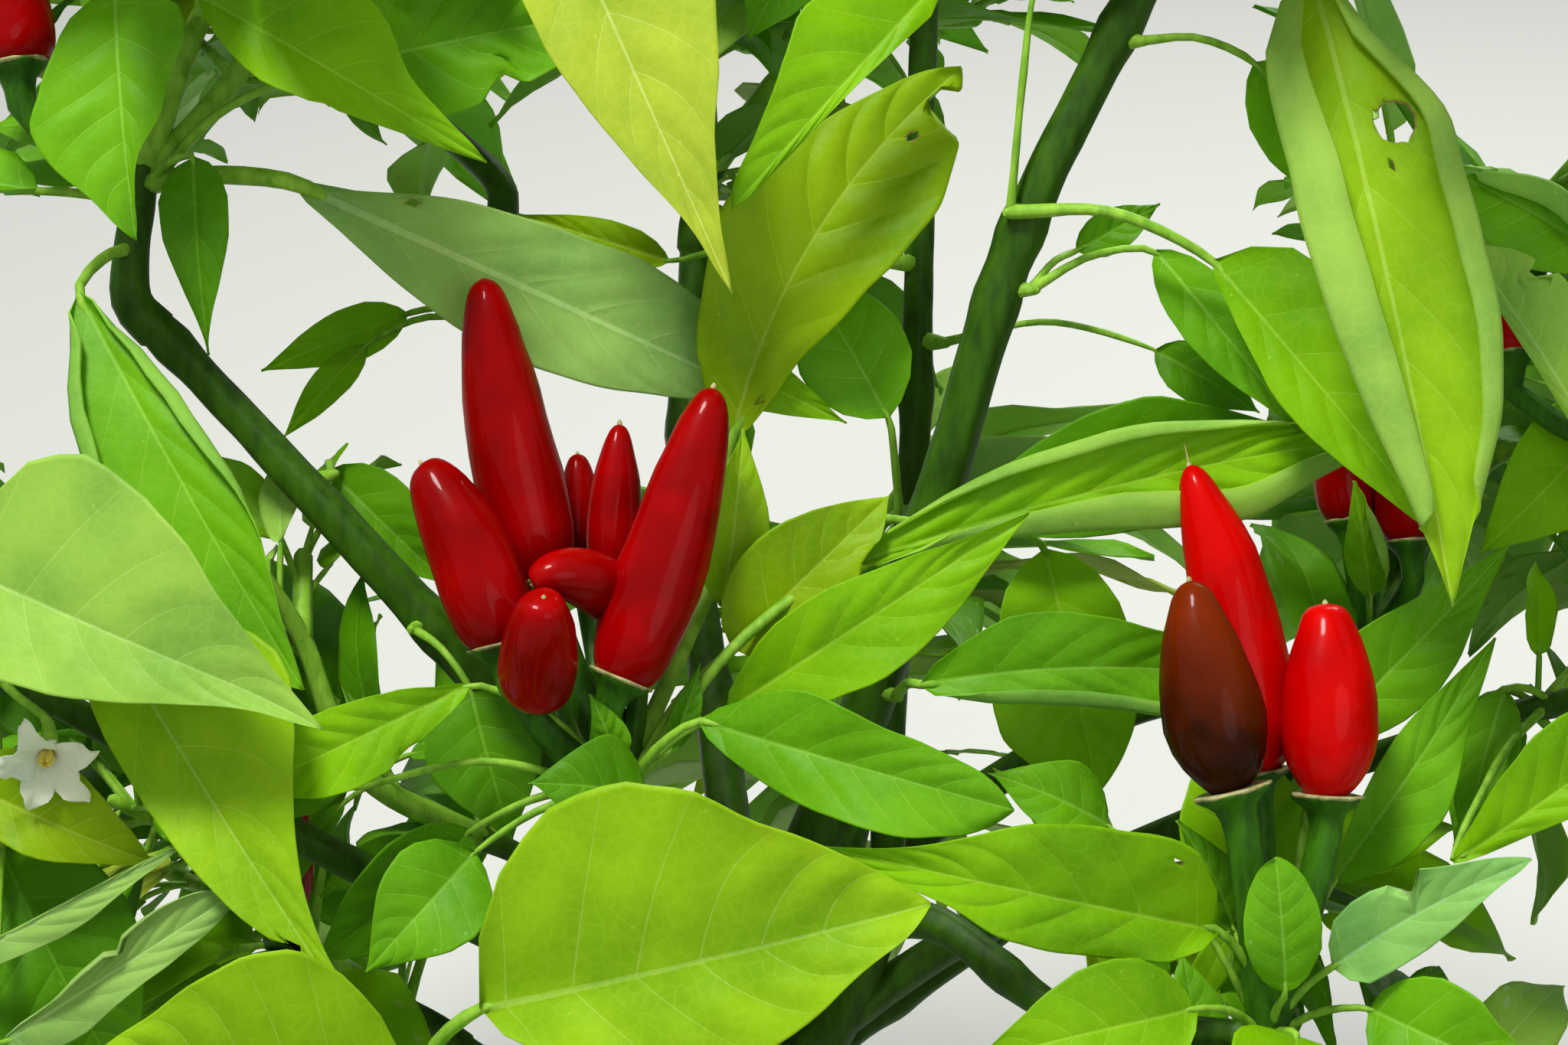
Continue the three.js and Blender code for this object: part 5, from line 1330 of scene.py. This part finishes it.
def grow_fruit(shoot, node, heading, draw):
    out = Quaternion(UP, draw(FRUIT_SWING)) @ Vector((heading.x, heading.y, 0)).normalized()
    foot = node + FRUIT_OUT * out + Vector((0, 0, draw(FRUIT_RISE)))
    tip = foot + draw(FRUIT_LEAN) * out + Vector((0, 0, draw(FRUIT_LENGTH)))
    width = draw(FRUIT_WIDTH)
    points = [bent(foot, tip, Vector(), i / 6) for i in range(7)]
    if not fits(shoot, points, 1, width / 2 + LEAF_GAP, node):
        return
    occupy(points, width / 2, shoot.name)
    add_stalk(shoot, node, foot, (tip - foot).normalized(), width)
    shoot.fruit.append(fruit_marks(foot, tip, Vector(), width))


shoot_tips = []


def grow(shoot, start, heading, level, path, twig):
    side = Quaternion(heading, path * PAIR_TURN) @ heading.cross(Vector((0.3, 0.2, 1))).normalized()
    ends = level >= len(TWIG_LENGTH)
    shoot_tips.append((shoot, start, heading, side, path, ends))
    if level == 2:
        grow_fruit(shoot, start, heading, draws(shoot.seed, path, FRUIT_DRAW))
    for i in range(END_LEAVES if ends else NODE_LEAVES):
        root = start - LEAF_SPACING * (i + (0.4 if ends else 1.2)) * heading
        for attempt in range(LEAF_TRIES):
            draw = draws(shoot.seed, path, i, attempt)
            turn = path + SPIRAL * i + attempt * TRY_TURN
            if grow_leaf(shoot, root, heading, side, turn, END_TILT if ends else NODE_TILT, LEAF_LENGTH,
                         LEAF_GAP, draw, path):
                break
    if ends:
        return
    for hand in (-1, 1):
        after = path * 2 + (hand > 0)
        for attempt in range(TWIG_TRIES):
            draw = draws(shoot.seed, after, TWIG_TRIES, attempt)
            fork = Quaternion(heading, attempt * TRY_TURN) @ side
            way = Quaternion(fork, hand * math.radians(draw(FORK_ANGLE))) @ heading
            way = (way + Vector((0, 0, 0.1))).normalized()
            to = start + TWIG_LENGTH[level] * draw(TWIG_RANGE) * way
            points = between(start, to)[2:]
            if not fits(shoot, points, TWIG_SPACE, TWIG_GAP, start):
                continue
            occupy(points, TWIG_RADIUS[level], shoot.name)
            line = twig if hand < 0 else [start]
            line.append(to)
            grow(shoot, to, way, level + 1, after, line)
            if hand > 0:
                shoot.stem(line, [TWIG_RADIUS[level] * (1 - TWIG_TAPER * i) for i in range(len(line))])
            break


grown = [shoot for shoot in masses.values() if shoot.space]
for shoot in grown:
    twig = [shoot.root - 3 * shoot.heading]
    grow(shoot, shoot.root, shoot.heading, 1, 1, twig)
    if len(twig) > 1:
        shoot.stem(twig, [TWIG_RADIUS[1] * (1 - TWIG_TAPER * i) for i in range(len(twig))])

# Young leaves come in rings round each tip and fork, each ring smaller than the last.
YOUNG_SIZES = [(34, 56), (24, 42), (16, 28)]
YOUNG_GAPS = [4, 3.4, 2.6]
YOUNG_TRIES = 3
YOUNG_START = 2
YOUNG_SPACING = 2.3
YOUNG_TILT = (15, 95)
YOUNG_TURN = 0.9
YOUNG_DRAW = 40
RING_DRAWS = 9
for ring, (sizes, gap) in enumerate(zip(YOUNG_SIZES, YOUNG_GAPS)):
    for shoot, start, heading, side, path, ends in shoot_tips:
        for i in range(END_LEAVES if ends else NODE_LEAVES):
            root = start - (YOUNG_START + YOUNG_SPACING * i) * heading
            for attempt in range(YOUNG_TRIES):
                draw = draws(shoot.seed, path, YOUNG_DRAW + RING_DRAWS * ring + i, attempt)
                turn = path + SPIRAL * (i + 1.5 + ring) + attempt * YOUNG_TURN
                if grow_leaf(shoot, root, heading, side, turn, YOUNG_TILT, sizes, gap, draw, path):
                    break

# The leaf shapes are made once, in eight forms, and laid on points that carry their turn, size,
# form and tint.
FORMS = 8
FORM_SEED = 97
FORM_LENGTH = 64
FORM_WIDTH = 28
forms = bpy.data.collections.new("leaf_forms")
bpy.context.scene.collection.children.link(forms)
for k in range(FORMS):
    draw = draws(FORM_SEED, k)
    points, faces, parts = leaf_form(
        FORM_LENGTH, FORM_WIDTH, arch=ARCH_SHARE * FORM_LENGTH, fold=draw((2, 16)), ribs=4, fill=1,
        rows=(0.4, 0.8), thick=0.7, midrib=0.55, vein=0.18, quilt=draw((0.5, 1.1)), wave=draw((0.6, 2.4)),
        waves=draw((1, 2)), phase=draw((0, 1)), droop=draw((-2, 8)), twist=draw((-0.6, 0.6)),
        bend=draw((-2.5, 2.5)), powers=(0.7, draw((1.05, 1.3))))
    mesh = bpy.data.meshes.new(f"leaf_form_{k}")
    mesh.from_pydata([p / 1000 for p in points], [], faces)
    mesh.polygons.foreach_set("use_smooth", [part < MARGIN for part in parts])
    # The margin walls take the pale vein finish: the leaf's pale edge, and a painted highlight along it.
    skins = [part if part < MARGIN else VEIN for part in parts]
    mesh.attributes.new("part", "INT", "FACE").data.foreach_set("value", skins)
    forms.objects.link(bpy.data.objects.new(f"leaf_form_{k}", mesh))

leafy = bpy.data.node_groups.new("leaves_on_points", "GeometryNodeTree")
for name, kind in [("Geometry", "Geometry"), ("Shapes", "Collection")]:
    leafy.interface.new_socket(name, in_out="INPUT", socket_type="NodeSocket" + kind)
leafy.interface.new_socket("Geometry", in_out="OUTPUT", socket_type="NodeSocketGeometry")
given = add(leafy, "NodeGroupInput").outputs
carried = {}
for name, kind in [("turn", "FLOAT_VECTOR"), ("size", "FLOAT_VECTOR"), ("form", "INT"), ("tint", "INT"),
                   ("part", "INT")]:
    carried[name] = add(leafy, "GeometryNodeInputNamedAttribute", {"Name": name}, data_type=kind).outputs[0]
shapes = add(leafy, "GeometryNodeCollectionInfo", {"Collection": given["Shapes"], "Separate Children": True,
                                                   "Reset Children": True}).outputs[0]
turned = add(leafy, "FunctionNodeEulerToRotation", {0: carried["turn"]}).outputs[0]
laid = add(leafy, "GeometryNodeInstanceOnPoints", {
    "Points": given["Geometry"], "Instance": shapes, "Pick Instance": True,
    "Instance Index": carried["form"], "Rotation": turned, "Scale": carried["size"]}).outputs[0]
geometry = add(leafy, "GeometryNodeRealizeInstances", {"Geometry": laid}).outputs[0]
kind = add(leafy, "ShaderNodeMath", {0: carried["tint"], 1: 3.0, 2: carried["part"]},
           operation="MULTIPLY_ADD").outputs[0]
GROWN_TINTS = ["lime", "mid", "dark", "pale", "olive", "yellow"]
EPSILON = 12
for code, material in enumerate(skin for tint in GROWN_TINTS for skin in leaf_skins[tint]):
    chosen = add(leafy, "FunctionNodeCompare", {0: kind, 1: float(code), EPSILON: 0.3},
                 operation="EQUAL").outputs[0]
    geometry = add(leafy, "GeometryNodeSetMaterial", {"Geometry": geometry, "Selection": chosen,
                                                      "Material": material}).outputs[0]
add(leafy, "NodeGroupOutput", {0: geometry})

# A spray keeps to one tint, from the share of each tint among the plant's leaves.
SPRAY_TINTS = [0, 0, 1, 0, 1, 3, 1, 2, 0, 4, 1, 2, 0, 3, 1, 5]
fine_skin = stem_skin("light_green_stem_skin", "#5A8C18", "#8AB638")
for shoot in masses.values():
    owner = shoot.name.split("_", 1)[1] if shoot.space else shoot.name
    # Each kind of tube has its slot, and its sides, ridges, ridge depth, lump size and lump depth.
    for name, paths, skin, slot, look in [
            ("stems", shoot.stems, fine_skin, "green_stem", (8, 5, 0.06, 9, 0.4)),
            ("limb", shoot.limbs, bough_skin, "green_stem", (16, 5, 0.05, 12, 1.0)),
            ("stalks", shoot.stalks, stalk_skin, "green_stem", (20, 5, 0.07, 8, 0.5)),
            ("dry_rims", shoot.rims, dry_rim, "green_stem", (18, 7, 0.05, 4, 0.6)),
            ("fruit", shoot.fruit, fruit_skins["deep"], "red_fruit", (28, 3, 0.012, 14, 1.4))]:
        if paths:
            hand_over(tubes(f"{name}_{owner}", paths, skin, *look), slot, shoot.name)
    if shoot.blades:
        points, faces, parts, flats, materials = [], [], [], [], []
        for blade, quads, kinds, tint in shoot.blades:
            if leaf_skins[tint][0] not in materials:
                materials += leaf_skins[tint]
            first = materials.index(leaf_skins[tint][0])
            faces += [tuple(len(points) + c for c in quad) for quad in quads]
            flats += [kind >= MARGIN for kind in kinds]
            # The margin walls take the pale vein finish: the leaf's pale edge, and a painted highlight along
            # it.
            parts += [None if kind == DRY else first + (VEIN if kind == MARGIN else kind) for kind in kinds]
            points += blade
        parts = [len(materials) if part is None else part for part in parts]
        blades = place_mesh("broad_leaves_" + owner, points, faces, materials + [dry_edge], parts)
        blades.data.polygons.foreach_set("use_smooth", [not flat for flat in flats])
        hand_over(blades, "leaf", shoot.name)
    if shoot.sprigs:
        mesh = bpy.data.meshes.new("points_" + owner)
        mesh.from_pydata([base / 1000 for base, *_ in shoot.sprigs], [], [])
        turns = [tuple(turned.to_euler()) for _, turned, *_ in shoot.sprigs]
        sizes = [(length / FORM_LENGTH, width / FORM_WIDTH, length / FORM_LENGTH)
                 for _, _, length, width, _ in shoot.sprigs]
        for name, kind, key, values in [
                ("turn", "FLOAT_VECTOR", "vector", [c for turn in turns for c in turn]),
                ("size", "FLOAT_VECTOR", "vector", [c for size in sizes for c in size]),
                ("form", "INT", "value", [(3 * i + shoot.seed) % FORMS for i in range(len(shoot.sprigs))]),
                ("tint", "INT", "value", [SPRAY_TINTS[(path * 7 + shoot.seed * 5) % len(SPRAY_TINTS)]
                                          for *_, path in shoot.sprigs])]:
            mesh.attributes.new(name, kind, "POINT").data.foreach_set(key, values)
        source = bpy.data.objects.new("points_" + owner, mesh)
        leaves = run_tree("leaves_" + owner, source, leafy, shapes=forms)
        hand_over(leaves, "leaf", shoot.name)
for form in list(forms.objects):
    bpy.data.objects.remove(form)
bpy.data.collections.remove(forms)

# Floor, light and camera
# A plain pale floor, three round soft lights in a white studio, and a long lens that looks down
# into the crown from the photo's side.
FLOOR_HALF = 9
AIM = Vector((0, 0, 0.28))
corners = [(-1, -1), (1, -1), (1, 1), (-1, 1)]
floor_mesh = bpy.data.meshes.new("floor")
floor_mesh.from_pydata([(x * FLOOR_HALF, y * FLOOR_HALF, 0) for x, y in corners], [], [(0, 1, 2, 3)])
floor = bpy.data.objects.new("floor", floor_mesh)
bpy.context.scene.collection.objects.link(floor)
pale, tree = new_material("pale_floor")
shader = add(tree, "ShaderNodeBsdfPrincipled", {"Base Color": hex_colour("#A6A8A4"), "Roughness": 0.95})
add(tree, "ShaderNodeOutputMaterial", {"Surface": shader.outputs[0]})
floor_mesh.materials.append(pale)

world = bpy.data.worlds.new("studio")
bpy.context.scene.world = world
world.use_nodes = True
sky = world.node_tree.nodes["Background"].inputs
sky["Color"].default_value = (1, 1, 1, 1)
sky["Strength"].default_value = 0.6
for name, place, size, power, tone in [("key", (-0.5, -0.45, 2.0), 0.5, 46, (1, 0.99, 0.95)),
                                       ("back", (0.6, 1.3, 1.5), 0.8, 34, (1, 1, 0.96)),
                                       ("fill", (0.9, -1.7, 0.9), 1.2, 5, (1, 1, 1))]:
    light = bpy.data.lights.new(name, "AREA")
    light.shape, light.size, light.energy, light.color = "DISK", size, power, tone
    lamp = bpy.data.objects.new(name, light)
    lamp.location = place
    lamp.rotation_euler = (Vector(place) - AIM).to_track_quat("Z", "Y").to_euler()
    bpy.context.scene.collection.objects.link(lamp)

camera_data = bpy.data.cameras.new("camera")
camera_data.lens = 84
camera_data.sensor_width = 36
camera_data.clip_end = 60
camera = bpy.data.objects.new("camera", camera_data)
camera.location = (SHOW_CENTRE - SHOW_DISTANCE * LOOK) / 1000
camera.rotation_euler = (-LOOK).to_track_quat("Z", "Y").to_euler()
bpy.context.scene.collection.objects.link(camera)
bpy.context.scene.camera = camera
bpy.context.scene.view_settings.view_transform = "Standard"
